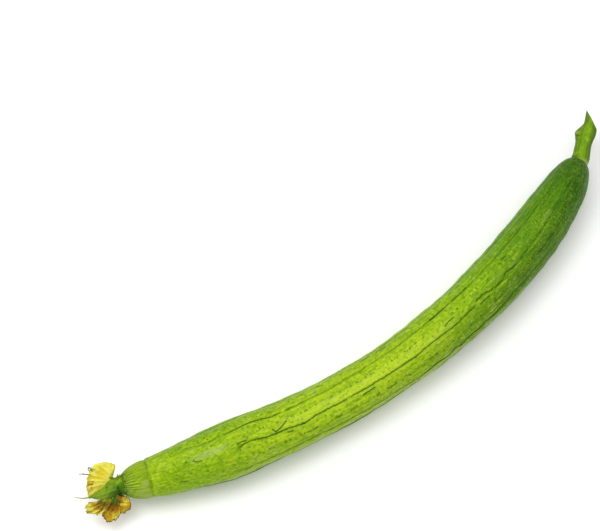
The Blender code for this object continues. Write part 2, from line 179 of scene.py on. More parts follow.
def grid_faces(rows: int, columns: int, closed: bool) -> Array:
    """The quads of a grid of points stored row by row.

    Args:
        rows: number of rows.
        columns: number of columns.
        closed: whether the last column joins the first.

    Returns:
        Four point numbers for each quad.
    """
    row = np.arange(rows - 1)[:, None] * columns
    here = np.arange(columns if closed else columns - 1)[None, :]
    after = (here + 1) % columns
    return np.stack([row + here, row + after, row + columns + after, row + columns + here], -1).reshape(-1, 4)


def fan_faces(rim: Array, pole: int) -> Array:
    """Triangles from a closed rim of points to one pole."""
    return np.stack([np.full(len(rim), pole), rim, np.roll(rim, -1)], -1)


@dataclass
class Shell:
    """One closed surface: its points, its faces and a value of each field for each point."""

    points: Array
    faces: list[Array]
    fields: Fields

    def placed(self, place: Matrix) -> "Shell":
        """The shell carried from a frame into the model's: rotation times point plus origin."""
        turn = np.array(place.to_3x3())
        return Shell(self.points @ turn.T + np.array(place.translation), self.faces, self.fields)

    def outward(self) -> list[Array]:
        """The faces, all turned over if the volume that they enclose is negative."""
        volume = 0.0
        for part in self.faces:
            corner = self.points[part]
            for second in range(1, part.shape[1] - 1):
                cross = np.cross(corner[:, second], corner[:, second + 1])
                volume += float(np.einsum("ij,ij->i", corner[:, 0], cross).sum())
        return self.faces if volume > 0.0 else [part[:, ::-1] for part in self.faces]


def make_piece(name: str, shells: list[Shell]) -> bpy.types.Object:
    """A smooth mesh object at the origin made of closed shells, with their fields as attributes.

    Args:
        name: the object's name.
        shells: the surfaces, all with the same fields.

    Returns:
        The object, linked into the scene.
    """
    loops, totals, start = [], [], 0
    for shell in shells:
        for part in shell.outward():
            loops.append((part + start).ravel())
            totals.append(np.full(len(part), part.shape[1]))
        start += len(shell.points)
    loops, totals = np.concatenate(loops), np.concatenate(totals)
    points = np.concatenate([shell.points for shell in shells])
    mesh = bpy.data.meshes.new(name)
    mesh.vertices.add(len(points))
    mesh.vertices.foreach_set("co", points.astype(np.float32).ravel())
    mesh.loops.add(len(loops))
    mesh.loops.foreach_set("vertex_index", loops.astype(np.int32))
    mesh.polygons.add(len(totals))
    mesh.polygons.foreach_set("loop_start", (np.cumsum(totals) - totals).astype(np.int32))
    mesh.update(calc_edges=True)
    mesh.validate()
    mesh.shade_smooth()
    for field_name in shells[0].fields:
        values = np.concatenate([shell.fields[field_name] for shell in shells])
        kind = ("FLOAT", "value") if values.ndim == 1 else ("FLOAT_VECTOR", "vector")
        layer = mesh.attributes.new(field_name, kind[0], "POINT")
        layer.data.foreach_set(kind[1], values.astype(np.float32).ravel())
    piece = bpy.data.objects.new(name, mesh)
    bpy.context.scene.collection.objects.link(piece)
    return piece


def round_shell(rings: Array, fields: Fields) -> Shell:
    """A closed surface through rings of points, its ends closed by fans to their middles.

    Args:
        rings: points in an array of rings, sides and three coordinates.
        fields: values in arrays of rings and sides.

    Returns:
        The shell.
    """
    count, sides = rings.shape[:2]

    def with_poles(values: Array) -> Array:
        """The values as one row for each point, with the two end means added."""
        ends = [values[:1].mean(axis=1), values[-1:].mean(axis=1)]
        return np.concatenate([values.reshape(-1, *values.shape[2:]), *ends])

    first = fan_faces(np.arange(sides)[::-1], count * sides)
    last = fan_faces(np.arange(sides) + (count - 1) * sides, count * sides + 1)
    faces = [grid_faces(count, sides, True), first, last]
    return Shell(with_poles(rings), faces, {key: with_poles(value) for key, value in fields.items()})


def blade_shell(middle: Array, half: Array, fields: Fields) -> Shell:
    """A thin closed blade on both sides of a middle surface, joined round its rim.

    Args:
        middle: points of the middle surface, in rows and columns.
        half: vectors from the middle surface to the upper face.
        fields: values in arrays of rows and columns.

    Returns:
        The shell.
    """
    rows, columns = middle.shape[:2]
    upper = grid_faces(rows, columns, False)
    lower = upper[:, ::-1] + rows * columns
    index = np.arange(rows * columns).reshape(rows, columns)
    rim = np.concatenate([index[0, :-1], index[:-1, -1], index[-1, :0:-1], index[:0:-1, 0]])
    after = np.roll(rim, -1)
    edge = np.stack([after, rim, rim + rows * columns, after + rows * columns], -1)
    points = np.concatenate([(middle + half).reshape(-1, 3), (middle - half).reshape(-1, 3)])
    both = {}
    for key, value in fields.items():
        both[key] = np.concatenate([value.reshape(rows * columns, *value.shape[2:])] * 2)
    return Shell(points, [upper, lower, edge], both)


SLANT = (0.3, 0.2, 0.93)  # a direction that no thread runs along


def tube(path: Array, radius: Array, sides: int) -> Array:
    """Rings round a path: radius times a circle across the path's direction.

    Args:
        path: points along the middle.
        radius: radius at each point.
        sides: points in each ring.

    Returns:
        Points in rings.
    """
    along = unit(np.gradient(path, axis=0))
    first = unit(np.cross(along, np.array(SLANT)))
    second = np.cross(along, first)
    angle = ring_angles(sides)[..., None]
    ring = np.cos(angle) * first[:, None, :] + np.sin(angle) * second[:, None, :]
    return path[:, None, :] + radius[:, None, None] * ring


# Shader nodes as expressions


class Sock:
    """A node's output that takes part in arithmetic: each operator adds a Math node."""

    def __init__(self, shade: "Shade", socket: bpy.types.NodeSocket) -> None:
        """Wrap one socket of one material."""
        self.shade = shade
        self.socket = socket

    def maths(self, operation: str, *values: "Sock | float") -> "Sock":
        """A Math node on the values, in order."""
        made = self.shade.node("ShaderNodeMath", {"operation": operation}, dict(enumerate(values)))
        return Sock(self.shade, made.outputs[0])

    @staticmethod
    def operator(operation: str, reflected: bool = False) -> Callable[..., "Sock"]:
        """A method that adds one Math node.

        Args:
            operation: what the node does.
            reflected: whether the other value comes first.

        Returns:
            The method, of this value and at most one other.
        """

        def method(self: "Sock", *other: "Sock | float") -> "Sock":
            """The node's value."""
            return self.maths(operation, *((*other, self) if reflected else (self, *other)))

        return method

    def step(self, start: float, end: float) -> "Sock":
        """Zero before start, one after end, smooth between; start may be the larger."""
        low, high = min(start, end), max(start, end)
        to = (0.0, 1.0) if start < end else (1.0, 0.0)
        settings = {"interpolation_type": "SMOOTHSTEP"}
        values = {"Value": self, "From Min": low, "From Max": high, "To Min": to[0], "To Max": to[1]}
        return Sock(self.shade, self.shade.node("ShaderNodeMapRange", settings, values).outputs[0])

    def near(self, centre: float, far: float, close: float) -> "Sock":
        """Zero where it is far from the centre, one where it is close."""
        return abs(self - centre).step(far, close)

    __add__ = __radd__ = operator("ADD")
    __mul__ = __rmul__ = operator("MULTIPLY")
    __sub__, __rsub__ = operator("SUBTRACT"), operator("SUBTRACT", reflected=True)
    __truediv__, __rtruediv__ = operator("DIVIDE"), operator("DIVIDE", reflected=True)
    __abs__ = operator("ABSOLUTE")
    most = operator("MAXIMUM")
    least = operator("MINIMUM")
    cosine = operator("COSINE")
    angle_to = operator("ARCTAN2")  # the angle whose sine and cosine go as this value and the other


Value = Sock | float | Colour | Edges


@dataclass(frozen=True)
class Noise:
    """A smooth noise: its waves per metre along, aside and up, its octaves, and how rough they are."""

    scales: Triple
    detail: float = 2.0
    rough: float = 0.5


class Shade:
    """One material under construction: one method adds any node, and coats of colour are laid in turn."""

    def __init__(self, name: str) -> None:
        """Start an empty node tree under a new material."""
        self.material = bpy.data.materials.new(name)
        self.material.use_nodes = True
        self.tree = self.material.node_tree
        self.tree.nodes.clear()
        self.colour: Sock | None = None

    def node(self, kind: str, settings: dict | None = None, values: dict | None = None) -> bpy.types.Node:
        """Add a node.

        Args:
            kind: the node's type.
            settings: its properties, set first; "stops" are a ramp's (place, colour) pairs.
            values: numbers, colours or sockets for its inputs, by name or number.

        Returns:
            The node.
        """
        made = self.tree.nodes.new(kind)
        for key, value in (settings or {}).items():
            if key == "stops":
                stops = made.color_ramp.elements
                for place, _ in value[2:]:
                    stops.new(place)
                for stop, (place, colour) in zip(stops, value):
                    stop.position = place
                    stop.color = (*colour, 1.0)
            else:
                setattr(made, key, value)
        for key, value in (values or {}).items():
            socket = made.inputs[key]
            if isinstance(value, Sock):
                self.tree.links.new(value.socket, socket)
            elif isinstance(value, tuple) and socket.type == "RGBA":
                socket.default_value = (*value[:3], 1.0)
            else:
                socket.default_value = value
        return made

    def out(
        self, kind: str, settings: dict | None = None, values: dict | None = None, at: int | str = 0
    ) -> Sock:
        """Add a node and wrap one of its outputs.

        Args:
            kind: the node's type.
            settings: its properties.
            values: numbers, colours or sockets for its inputs.
            at: the output, by name or number.

        Returns:
            The output.
        """
        return Sock(self, self.node(kind, settings, values).outputs[at])

    def field(self, name: str) -> Sock:
        """A vector attribute of the piece."""
        return self.out("ShaderNodeAttribute", {"attribute_name": name}, at="Vector")

    def number(self, name: str) -> Sock:
        """A number attribute of the piece."""
        return self.out("ShaderNodeAttribute", {"attribute_name": name}, at="Fac")

    def place(self) -> Sock:
        """The point's place in the model, in metres."""
        return self.out("ShaderNodeTexCoord", at="Object")

    def parts(self, vector: Sock) -> list[Sock]:
        """The three numbers of a vector."""
        split = self.node("ShaderNodeSeparateXYZ", None, {0: vector})
        return [Sock(self, output) for output in split.outputs]

    def stretch(self, vector: Sock, scales: Triple) -> Sock:
        """A vector times three scales, in waves per metre."""
        return self.out("ShaderNodeVectorMath", {"operation": "MULTIPLY"}, {0: vector, 1: scales})

    def noise(self, vector: Sock, kind: Noise) -> Sock:
        """Smooth noise from 0 to 1 on a stretched vector."""
        values = {"Scale": 1.0, "Detail": kind.detail, "Roughness": kind.rough}
        values["Vector"] = self.stretch(vector, kind.scales)
        return self.out("ShaderNodeTexNoise", {"noise_dimensions": "3D"}, values)

    def spots(self, vector: Sock, scales: Triple) -> Sock:
        """Distance to the nearest of a crowd of scattered points, on a stretched vector."""
        values = {"Vector": self.stretch(vector, scales), "Scale": 1.0, "Randomness": 1.0}
        return self.out("ShaderNodeTexVoronoi", {"feature": "F1"}, values, "Distance")

    def gradient(self, value: Sock, stops: tuple[tuple[float, Colour], ...]) -> Sock:
        """A colour read from (place, colour) stops."""
        return self.out("ShaderNodeValToRGB", {"stops": stops}, {0: value})

    def mix(self, share: Sock | float, first: Value, second: Value) -> Sock:
        """The first colour where the share is 0, the second where it is 1."""
        settings = {"data_type": "RGBA", "clamp_factor": True}
        return self.out("ShaderNodeMix", settings, {0: share, 6: first, 7: second}, 2)

    def lay(self, share: Sock | float, tone: Value) -> None:
        """Lay a tone over the colour so far, as thickly as the share says."""
        self.colour = self.mix(share, self.colour, tone)

    def bump(self, height: Sock, distance: float, strength: float = 1.0) -> Sock:
        """A normal bent by a height."""
        values = {"Height": height, "Distance": distance, "Strength": strength}
        return self.out("ShaderNodeBump", None, values)

    def finish(self, rough: Value, normal: Sock | None, specular: float, sheen: float = 0.0) -> Material:
        """Close the material with a Principled shader under the coats of colour.

        Args:
            rough: its roughness.
            normal: its bent normal, or None where it is smooth.
            specular: its specular level.
            sheen: its sheen weight.

        Returns:
            The material.
        """
        values = {"Base Color": self.colour, "Roughness": rough, "Specular IOR Level": specular}
        values["Sheen Weight"] = sheen
        if normal is not None:
            values["Normal"] = normal
        shader = self.node("ShaderNodeBsdfPrincipled", None, values)
        output = self.node("ShaderNodeOutputMaterial")
        self.tree.links.new(shader.outputs[0], output.inputs[0])
        return self.material


# The fruit's plain form, which every piece is placed on


@dataclass(frozen=True)
class Form:
    """The fruit's plain form: a centre line that bends one way, a radius along it, and how it rests."""

    length: float = 0.512
    start_heading: float = math.radians(-18.3)
    sweep: float = math.radians(43.0)
    sweep_from: float = 0.075
    sweep_power: float = 1.2
    neck_hook: float = math.radians(8.5)
    hook_power: float = 1.5
    waist: float = 0.0221
    head_swell: Triple = (0.0022, 0.100, 0.055)
    tail_swell: Triple = (0.0018, 0.395, 0.095)
    ring_arc: float = 0.024
    ring_radius: float = 0.0163
    crease: float = 0.0007
    crease_width: float = 0.0015
    head_full_arc: float = 0.105
    head_power: float = 2.1
    neck_arc: float = 0.0014
    crown_arc: float = 0.022
    collar_reach: float = 0.024
    collar_power: float = 1.8
    shoulder_from: float = 0.400
    shoulder_power: float = 2.4
    shoulder_root: float = 3.4
    end_arc: float = 0.5108
    lift: float = 0.0003
    droop: float = 0.0016
    press: float = 0.0005
    rests: Triple = (0.092, 0.256, 0.428)
    rest_spread: float = 0.022
    line_points: int = 2049

    def heading(self, arc: Array) -> Array:
        """Direction of the centre line in plan: a start, a growing sweep, and a hook at the neck.

        Args:
            arc: distance along the centre line.

        Returns:
            Angles from +X, in radians.
        """
        swing = np.clip((arc - self.sweep_from) / (self.length - self.sweep_from), 0.0, None)
        hook = np.clip((self.sweep_from - arc) / self.sweep_from, 0.0, 1.0)
        sweep = self.sweep * swing**self.sweep_power
        return self.start_heading + sweep - self.neck_hook * hook**self.hook_power

    def radius(self, arc: Array) -> Array:
        """The plain radius: a dome over the collar, a swelling body with two bells, a rounded shoulder.

        Args:
            arc: distance along the centre line.

        Returns:
            The radius, with the crease of the ring taken off.
        """
        head = self.head_swell[0] * bell(arc, *self.head_swell[1:])
        full = self.waist + head + self.tail_swell[0] * bell(arc, *self.tail_swell[1:])
        fall = np.clip((self.crown_arc - arc) / self.collar_reach, 0.0, 1.0)
        collar = self.ring_radius * np.sqrt(1.0 - fall**self.collar_power)
        rise = np.clip((arc - self.ring_arc) / (self.head_full_arc - self.ring_arc), 0.0, 1.0)
        body = self.ring_radius + (full - self.ring_radius) * (1.0 - (1.0 - rise) ** self.head_power)
        end = np.clip((arc - self.shoulder_from) / (self.length - self.shoulder_from), 0.0, 1.0)
        body = body * (1.0 - end**self.shoulder_power) ** (1.0 / self.shoulder_root)
        crease = self.crease * bell(arc, self.ring_arc, self.crease_width)
        return np.where(arc < self.ring_arc, collar, body) - crease

    def centre_line(self, arc: Array) -> Array:
        """Points of the centre line: the heading summed along it, and the belly's radius as its height.

        Args:
            arc: distance along the centre line.

        Returns:
            Points, with the middle of the belly at the origin.
        """
        fine = np.linspace(0.0, self.length, self.line_points)
        turn = self.heading(0.5 * (fine[1:] + fine[:-1]))
        plan = []
        for step in (np.cos(turn), np.sin(turn)):
            sums = np.concatenate([[0.0], np.cumsum(step)]) * fine[1]
            plan.append(np.interp(arc, fine, sums) - np.interp(0.5 * self.length, fine, sums))
        resting = sum(bell(arc, at, self.rest_spread) for at in self.rests)
        carried = self.radius(np.clip(arc, self.rests[0], self.rests[-1]))
        droop = self.droop * (1.0 - ramp(arc, 0.0, self.rests[0]))
        height = carried + self.lift - droop - (self.lift + self.press) * resting
        return np.stack([*plan, height], -1)

    def flower_frame(self) -> Matrix:
        """The flower's frame, which looks back along the fruit."""
        return self.end_frame(self.neck_arc, math.pi)

    def end_frame(self, arc: float, away: float) -> Matrix:
        """A frame on the centre line, +X along it (or back along it, with away as pi) and +Z up."""
        turn = float(self.heading(np.array(arc))) + away
        return Matrix.Translation(Vector(self.centre_line(np.array(arc)))) @ Matrix.Rotation(turn, 4, "Z")


def add_piece(name: str, node: str, shells: list[Shell], material: Material) -> None:
    """Make a piece, dress it, tie it to the model and log its size.

    Args:
        name: the piece's name.
        node: the model's node that it stands for.
        shells: its surfaces.
        material: its finish.
    """
    piece = make_piece(name, shells)
    piece.data.materials.append(material)
    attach(piece, "root")
    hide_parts(node)
    triangles = sum(len(face.vertices) - 2 for face in piece.data.polygons)
    log.info("%s: %d triangles for %s", name, triangles, node)


# The fruit


@dataclass(frozen=True)
class SkinFinish:
    """Smooth green skin: it darkens towards the stalk, with thin furrows, dashes and pale specks, and painted
    light and shade on its flanks and collar.
    """

    # Places along the fruit, from 0 at the flower to 1 at the stalk, with their screen colours
    along: tuple[tuple[float, int, int, int], ...] = (
        (0.000, 66, 98, 6), (0.012, 104, 136, 6), (0.030, 130, 158, 8), (0.042, 122, 149, 8),
        (0.056, 146, 174, 6), (0.100, 141, 174, 6), (0.170, 146, 178, 10), (0.265, 152, 181, 16),
        (0.380, 155, 184, 20), (0.450, 154, 183, 16), (0.550, 157, 187, 18), (0.630, 136, 173, 8),
        (0.700, 121, 162, 4), (0.790, 85, 132, 2), (0.850, 82, 127, 2), (0.912, 56, 106, 1),
        (0.960, 22, 72, 1), (1.000, 4, 30, 1),
    )
    # line, shade and deep also colour the painted shade on the flanks and under the outer rim.
    line: Colour = linear(40, 80, 1)
    dash: Colour = linear(62, 108, 3)
    shade: Colour = linear(76, 126, 2)
    deep: Colour = linear(12, 56, 1)
    pale: Colour = linear(192, 216, 52)
    # Whitish bloom, also used for a painted highlight spot and a painted reflection of the floor.
    bloom_and_painted_sheen: Colour = linear(180, 196, 124)
    # The next two are painted light: highlights on the collar's rib crests, and a sheen on the collar.
    collar_rib_highlight: Colour = linear(190, 206, 92)
    collar_sheen: Colour = linear(156, 170, 108)
    scar: Colour = linear(44, 84, 6)
    wander: Noise = Noise((14.0, 30.0, 30.0))
    band: Noise = Noise((18.0, 330.0, 330.0), 3.0, 0.6)
    fine_band: Noise = Noise((60.0, 900.0, 900.0), 3.0, 0.62)
    mottle: Noise = Noise((150.0, 240.0, 240.0), 4.0, 0.66)
    pebble: Noise = Noise((330.0, 480.0, 480.0), 3.0, 0.65)
    pores: Noise = Noise((1300.0, 1500.0, 1500.0), 3.0, 0.6)
    wiggle: Noise = Noise((260.0, 110.0, 110.0), 3.0, 0.7)
    ragged: Noise = Noise((700.0, 900.0, 900.0))
    gaps: Noise = Noise((85.0, 40.0, 40.0))
    beads: Noise = Noise((360.0, 90.0, 90.0), 1.0)
    wobble: Noise = Noise((200.0, 60.0, 60.0), 1.0)
    crowd: Noise = Noise((38.0, 70.0, 70.0), 1.0)
    rib_drift: Noise = Noise((60.0, 260.0, 260.0), 1.0)
    rib_breaks: Noise = Noise((120.0, 260.0, 260.0))
    foot: Noise = Noise((520.0, 420.0, 420.0), 3.0, 0.65)
    # Where the painted sheen lies on the collar, in patches.
    painted_collar_sheen: Noise = Noise((90.0, 90.0, 90.0), 3.0)
    seam_drift: Noise = Noise((130.0, 160.0, 160.0))
    dust_drift: Noise = Noise((60.0, 130.0, 130.0), 4.0, 0.6)
    dash_cells: Triple = (190.0, 330.0, 330.0)
    freckle_cells: Triple = (300.0, 520.0, 520.0)
    pit_cells: Triple = (190.0, 230.0, 230.0)
    grain_cells: Triple = (520.0, 900.0, 900.0)
    dark_end: Span = (0.66, 0.92)
    near_ring: tuple[Span, Span] = ((0.030, 0.050), (0.125, 0.085))
    # The painted highlight spot: its arc and its place across the flank.
    painted_highlight_spot: Span = (0.077, 0.20)
    drift: float = 0.0022  # how far the dark lines stray from the furrows
    line_width: Edges = (0.00028, 0.00056, 0.0015, 0.0007)  # the least, and what three causes add
    thinnest: float = 0.0001
    ring_blur: Span = (0.0005, 0.0010)
    seam: Triple = (0.0008, 0.0014, 0.0002)
    # The painted highlight on the ring's lip: how far past the ring, and where it fades and is full.
    lip: Triple = (0.0021, 0.0013, 0.0003)
    bead_wobble: float = 0.0009
    scar_edge: Triple = (0.0009, 0.0009, 0.0002)
    collar_ribs: float = 4.0
    collar_drift: float = 3.2
    relief: float = 0.00030
    roughness: Span = (0.34, 0.50)
    specular: float = 0.08
    sheen: float = 0.02


class Skin(Shade):
    """The skin's material as it is built up: where a point lies on the fruit, and the coats so far.

    In each step() the two numbers are where a mark starts and where it is full, and the factor laid
    with a tone is the mark's greatest strength. Heights are in the relief's unit, and share is a
    point's place along the fruit, from 0 at the flower to 1 at the stalk.
    """

    def __init__(self, look: SkinFinish, form: Form, sector: float) -> None:
        """Read the fruit's fields.

        Args:
            look: tones and noises.
            form: the fruit's form, for its lengths.
            sector: angle between furrows.
        """
        super().__init__("gourd_skin")
        self.look, self.form, self.sector = look, form, sector
        self.flat = self.field("flat")
        self.arc, side, up = self.parts(self.flat)
        phase_cos, phase_sin, self.bold = self.parts(self.field("line"))
        self.girth = self.number("girth")
        self.low, self.high = -1.0 * side / self.girth, up / self.girth
        self.share = self.arc * (1.0 / form.length)
        self.turn = phase_sin.angle_to(phase_cos)
        self.dark_end = self.share.step(*look.dark_end)
        before, past = look.ring_blur
        self.body = self.arc.step(form.ring_arc - before, form.ring_arc + past)
        self.cap = 1.0 - self.body
        near, far = look.near_ring
        self.near_ring = self.arc.step(*near) * self.arc.step(*far)
        # Painted shade mask for the outer flank, strongest just past the ring; it also widens the dark furrow
        # lines there.
        outer = self.low.step(0.50, 1.00) * self.body
        self.outer = (0.6 * outer).most(self.low.step(0.10, 0.70) * self.near_ring)
        shared = (look.wander, look.band, look.mottle, look.ragged, look.crowd, look.gaps)
        self.wander, self.band, self.mottle, self.ragged, self.crowd, self.gaps = (
            self.cloud(kind) for kind in shared
        )
        drift = look.drift * (self.cloud(look.wiggle) - 0.5)
        self.off_line = abs(self.turn * (sector / math.tau) * self.girth + drift)
        least, even, uneven, outside = look.line_width
        width = least + even * self.gaps + uneven * (self.ragged - 0.5) + outside * self.outer
        line = (self.off_line / width.most(look.thinnest)).step(1.5, 0.35)
        self.groove = line * self.bold * self.gaps.step(0.24, 0.42)
        self.height = 0.30 * self.cloud(look.pores) - 1.6 * self.groove

    def cloud(self, kind: Noise) -> Sock:
        """A noise over the skin."""
        return self.noise(self.flat, kind)

    def green_and_painted_shade(self) -> None:
        """The green along the fruit, darker by the stalk, with painted shade on both flanks where they turn
        from the light, heaviest on the outer flank.
        """
        look, low, share = self.look, self.low, self.share
        stops = tuple((place, linear(*tone)) for place, *tone in look.along)
        self.colour = self.gradient(share + 0.05 * (self.wander - 0.5) * self.body, stops)
        # Painted shade: the outer flank darkens towards the stalk end, and more just by the stalk.
        self.lay(low.step(0.0, 0.90) * share.step(0.42, 0.78) * 0.74, look.deep)
        self.lay(low.step(0.05, 0.55) * share.near(0.935, 0.08, 0.02) * 0.62, look.deep)
        # Painted shade on the upper flank, more near the ring, and on the outer flank.
        upper = low.step(-0.15, -0.85) * self.body
        self.lay((upper * (0.28 + 0.3 * self.near_ring)).most(self.outer * 0.28), look.shade)

    def grain(self) -> None:
        """Streaks, mottling and pebbling, and a painted highlight: a pale band along the top of the middle.
        """
        look, dark, calm = self.look, self.dark_end, 1.0 - 0.65 * self.cap
        fine_band = self.cloud(look.fine_band)
        pebble = self.cloud(look.pebble)
        self.lay(self.band.step(0.42, 0.70) * 0.40, look.shade)
        self.lay(fine_band.step(0.48, 0.66) * (0.36 - 0.24 * dark), look.pale)
        self.lay(self.mottle.step(0.47, 0.66) * (0.44 + 0.16 * dark) * calm, look.shade)
        self.lay(pebble.step(0.49, 0.65) * (0.50 + 0.20 * dark) * calm, look.shade)
        self.lay(pebble.step(0.46, 0.30) * (0.46 - 0.38 * dark) * calm, look.pale)
        # Painted highlight: a pale band near the top of the fruit's middle.
        crown = self.share.step(0.22, 0.32) * self.share.step(0.66, 0.54)
        crown = crown * self.low.near(0.30, 0.34, 0.04)
        self.lay(crown * (0.42 + 0.5 * (self.wander - 0.5)), look.pale)
        self.height = self.height + 0.80 * fine_band + 0.9 * pebble

    def furrows(self) -> None:
        """A dark ragged line in each furrow, and a soft shade beside it."""
        halo = self.off_line.step(0.0030, 0.0006) * self.bold * self.gaps.step(0.25, 0.60)
        self.lay(self.groove * 0.95, self.look.line)
        self.lay(halo * 0.26, self.look.shade)

    def rows(self) -> None:
        """A row of short marks midway between furrows, and a fainter one on each side of it."""
        look, share = self.look, self.share
        off_middle = self.sector / 2.0 * self.girth - self.off_line
        off_quarter = abs(off_middle - self.sector / 4.0 * self.girth)
        beads = self.cloud(look.beads)
        wobble = look.bead_wobble * (self.cloud(look.wobble) - 0.5)
        row = abs(off_middle + wobble).step(0.0011, 0.0002) * beads.step(0.50, 0.62) * self.body
        row = row * share.step(0.95, 0.88) * share.step(0.16, 0.24)
        self.lay(row * (0.62 + 0.20 * self.dark_end), look.line)
        beside = off_quarter.step(0.0010, 0.0002) * beads.step(0.44, 0.32) * self.body
        beside = beside * share.step(0.90, 0.80) * share.step(0.12, 0.22)
        self.lay(beside * 0.42, look.line)
        self.height = self.height - 0.9 * row - 0.7 * beside

    def speckle(self) -> None:
        """Dark dashes, freckles and strands, pits near the ring, and pale grains by the stalk."""
        look, share, crowd = self.look, self.share, self.crowd
        dashes = self.spots(self.flat, look.dash_cells).step(0.30, 0.10) * crowd.step(0.38, 0.60)
        dashes = dashes * self.body * (0.42 + 0.48 * share.step(0.06, 0.11) * share.step(0.34, 0.20))
        self.lay(dashes, look.dash)
        freckles = self.spots(self.flat, look.freckle_cells).step(0.42, 0.14)
        freckles = freckles * (crowd + 0.6 * self.mottle).step(0.60, 0.86) * self.low.step(0.34, 0.62)
        self.lay(freckles * share.step(0.34, 0.48) * share.step(0.98, 0.93) * 0.52, look.line)
        strands = (self.band - 0.12 * self.wander).step(0.42, 0.56) * share.step(1.0, 0.95)
        self.lay(strands * self.dark_end * 0.34, look.deep)
        pits = self.spots(self.flat, look.pit_cells).step(0.27, 0.13) * crowd.step(0.58, 0.44)
        self.lay(pits * self.near_ring * 0.75, look.dash)
        grains = share.step(0.74, 0.87) * share.step(0.965, 0.87) * crowd.step(0.36, 0.56)
        grains = self.spots(self.flat, look.grain_cells).step(0.42, 0.12) * (0.06 + 0.40 * grains)
        self.lay(grains * self.body, look.pale)
        self.height = self.height - dashes + 0.5 * grains

    def scars(self, ends: tuple[Straight, ...]) -> None:
        """Short scars: a dark mark wherever the nearest one is close.

        Args:
            ends: both ends of each straight piece, in the skin's unrolled straight coordinates.
        """
        nearest = reduce(Sock.least, (self.distance_to(*pair) for pair in ends))
        fray, far, close = self.look.scar_edge
        torn = (nearest + fray * (self.ragged - 0.5)).step(far, close)
        self.lay(torn * 0.85, self.look.scar)
        self.height = self.height - 1.2 * torn

    def distance_to(self, first: Array, second: Array) -> Sock:
        """Distance to a straight mark: the point less its nearest place on the mark.

        Args:
            first: one end of the mark.
            second: its other end.

        Returns:
            The distance, in metres.
        """
        run = second - first
        start, way = tuple(first), tuple(run)
        vector_math = "ShaderNodeVectorMath"
        away = self.out(vector_math, {"operation": "SUBTRACT"}, {0: self.flat, 1: start})
        reach = self.out(vector_math, {"operation": "DOT_PRODUCT"}, {0: away, 1: way}, "Value")
        share = (reach / float(run @ run)).most(0.0).least(1.0)
        along = self.out(vector_math, {"operation": "SCALE"}, {0: way, "Scale": share})
        gap = self.out(vector_math, {"operation": "SUBTRACT"}, {0: away, 1: along})
        return self.out(vector_math, {"operation": "LENGTH"}, {0: gap}, "Value")

    def collar(self) -> None:
        """The collar: ribs with a painted highlight on each crest and painted shade between, a rough foot,
        patches of painted sheen, the ring's seam and a painted highlight on its lip.
        """
        look, arc, cap = self.look, self.arc, self.cap
        drift = look.collar_drift * (self.cloud(look.rib_drift) - 0.5)
        ribs = (self.turn * look.collar_ribs + drift).cosine()
        fade = cap * arc.step(0.001, 0.005) * (1.0 - 0.85 * arc.step(0.0075, 0.0180))
        fade = fade * arc.step(0.0230, 0.0200)
        fade = fade * (0.20 + 0.80 * self.low.step(-0.60, 0.80))
        fade = fade * (0.30 + 0.70 * self.cloud(look.rib_breaks).step(0.30, 0.58))
        # Painted highlight on the rib crests, and painted shade in the hollows between them.
        self.lay(ribs.step(0.35, 0.98) * fade * 0.62, look.collar_rib_highlight)
        self.lay(ribs.step(0.1, -0.9) * fade * 0.42, look.dash)
        knotty = self.cloud(look.foot).step(0.40, 0.56) * cap * arc.step(0.0075, 0.0020)
        self.lay(knotty * 0.75, look.deep)
        # Painted sheen: soft pale patches on the collar.
        painted_collar_sheen = self.cloud(look.painted_collar_sheen).step(0.46, 0.66) * cap * arc.step(0.010, 0.019)
        self.lay(painted_collar_sheen * 0.50, look.collar_sheen)
        uneven, past_ring = self.cloud(look.seam_drift), arc - self.form.ring_arc
        stray, far, close = look.seam
        seam = abs(past_ring - stray * (uneven - 0.5)).step(far, close) * uneven.step(0.30, 0.62)
        self.lay(seam * 0.55, look.dash)
        # Painted highlight on the bead just past the ring.
        self.lay(past_ring.near(*look.lip) * 0.12, look.pale)
        self.height = self.height - 0.7 * seam + 0.7 * ribs * fade

    def bloom_and_painted_light(self) -> None:
        """The whitish bloom in drifts, one painted highlight spot, and along the outer flank's rim a painted
        reflection of the floor over painted shade at its lower edge.
        """
        look, (patch_arc, patch_low) = self.look, self.look.painted_highlight_spot
        drifts = self.cloud(look.dust_drift).step(0.54, 0.78)
        # Painted highlight: one pale spot near the top of the flower end.
        highlight_spot = self.arc.near(patch_arc, 0.022, 0.006) * self.low.near(patch_low, 0.20, 0.03)
        self.lay((drifts * 0.22).most(highlight_spot * (0.30 + 0.6 * drifts)), look.bloom_and_painted_sheen)
        # Painted reflection of the pale floor along the outer flank's rim, and painted shade below it.
        under = self.low.step(0.80, 0.95) * self.share.step(0.10, 0.18) * self.share.step(0.84, 0.66)
        painted_floor_reflection = self.high.near(0.02, 0.24, 0.06) * self.mottle.step(0.40, 0.60) * (1.0 - self.groove)
        self.lay(under * painted_floor_reflection * 0.42, look.bloom_and_painted_sheen)
        painted_rim_shade = (0.10 - self.high + 0.25 * (self.band - 0.5)).step(0.10, 0.28)
        self.lay(under * painted_rim_shade * 0.78, look.line)

    def built(self, scar_ends: tuple[Straight, ...]) -> Material:
        """Lay every coat in order.

        Args:
            scar_ends: both ends of each scar's straight pieces, in the unrolled straight coordinates.

        Returns:
            The material.
        """
        self.green_and_painted_shade()
        self.grain()
        self.furrows()
        self.rows()
        self.speckle()
        self.scars(scar_ends)
        self.collar()
        self.bloom_and_painted_light()
        look, (smooth, rough) = self.look, self.look.roughness
        satin = smooth + (rough - smooth) * self.mottle + 0.10 * self.groove + 0.08 * self.cap
        return self.finish(satin, self.bump(self.height, look.relief), look.specular, look.sheen)


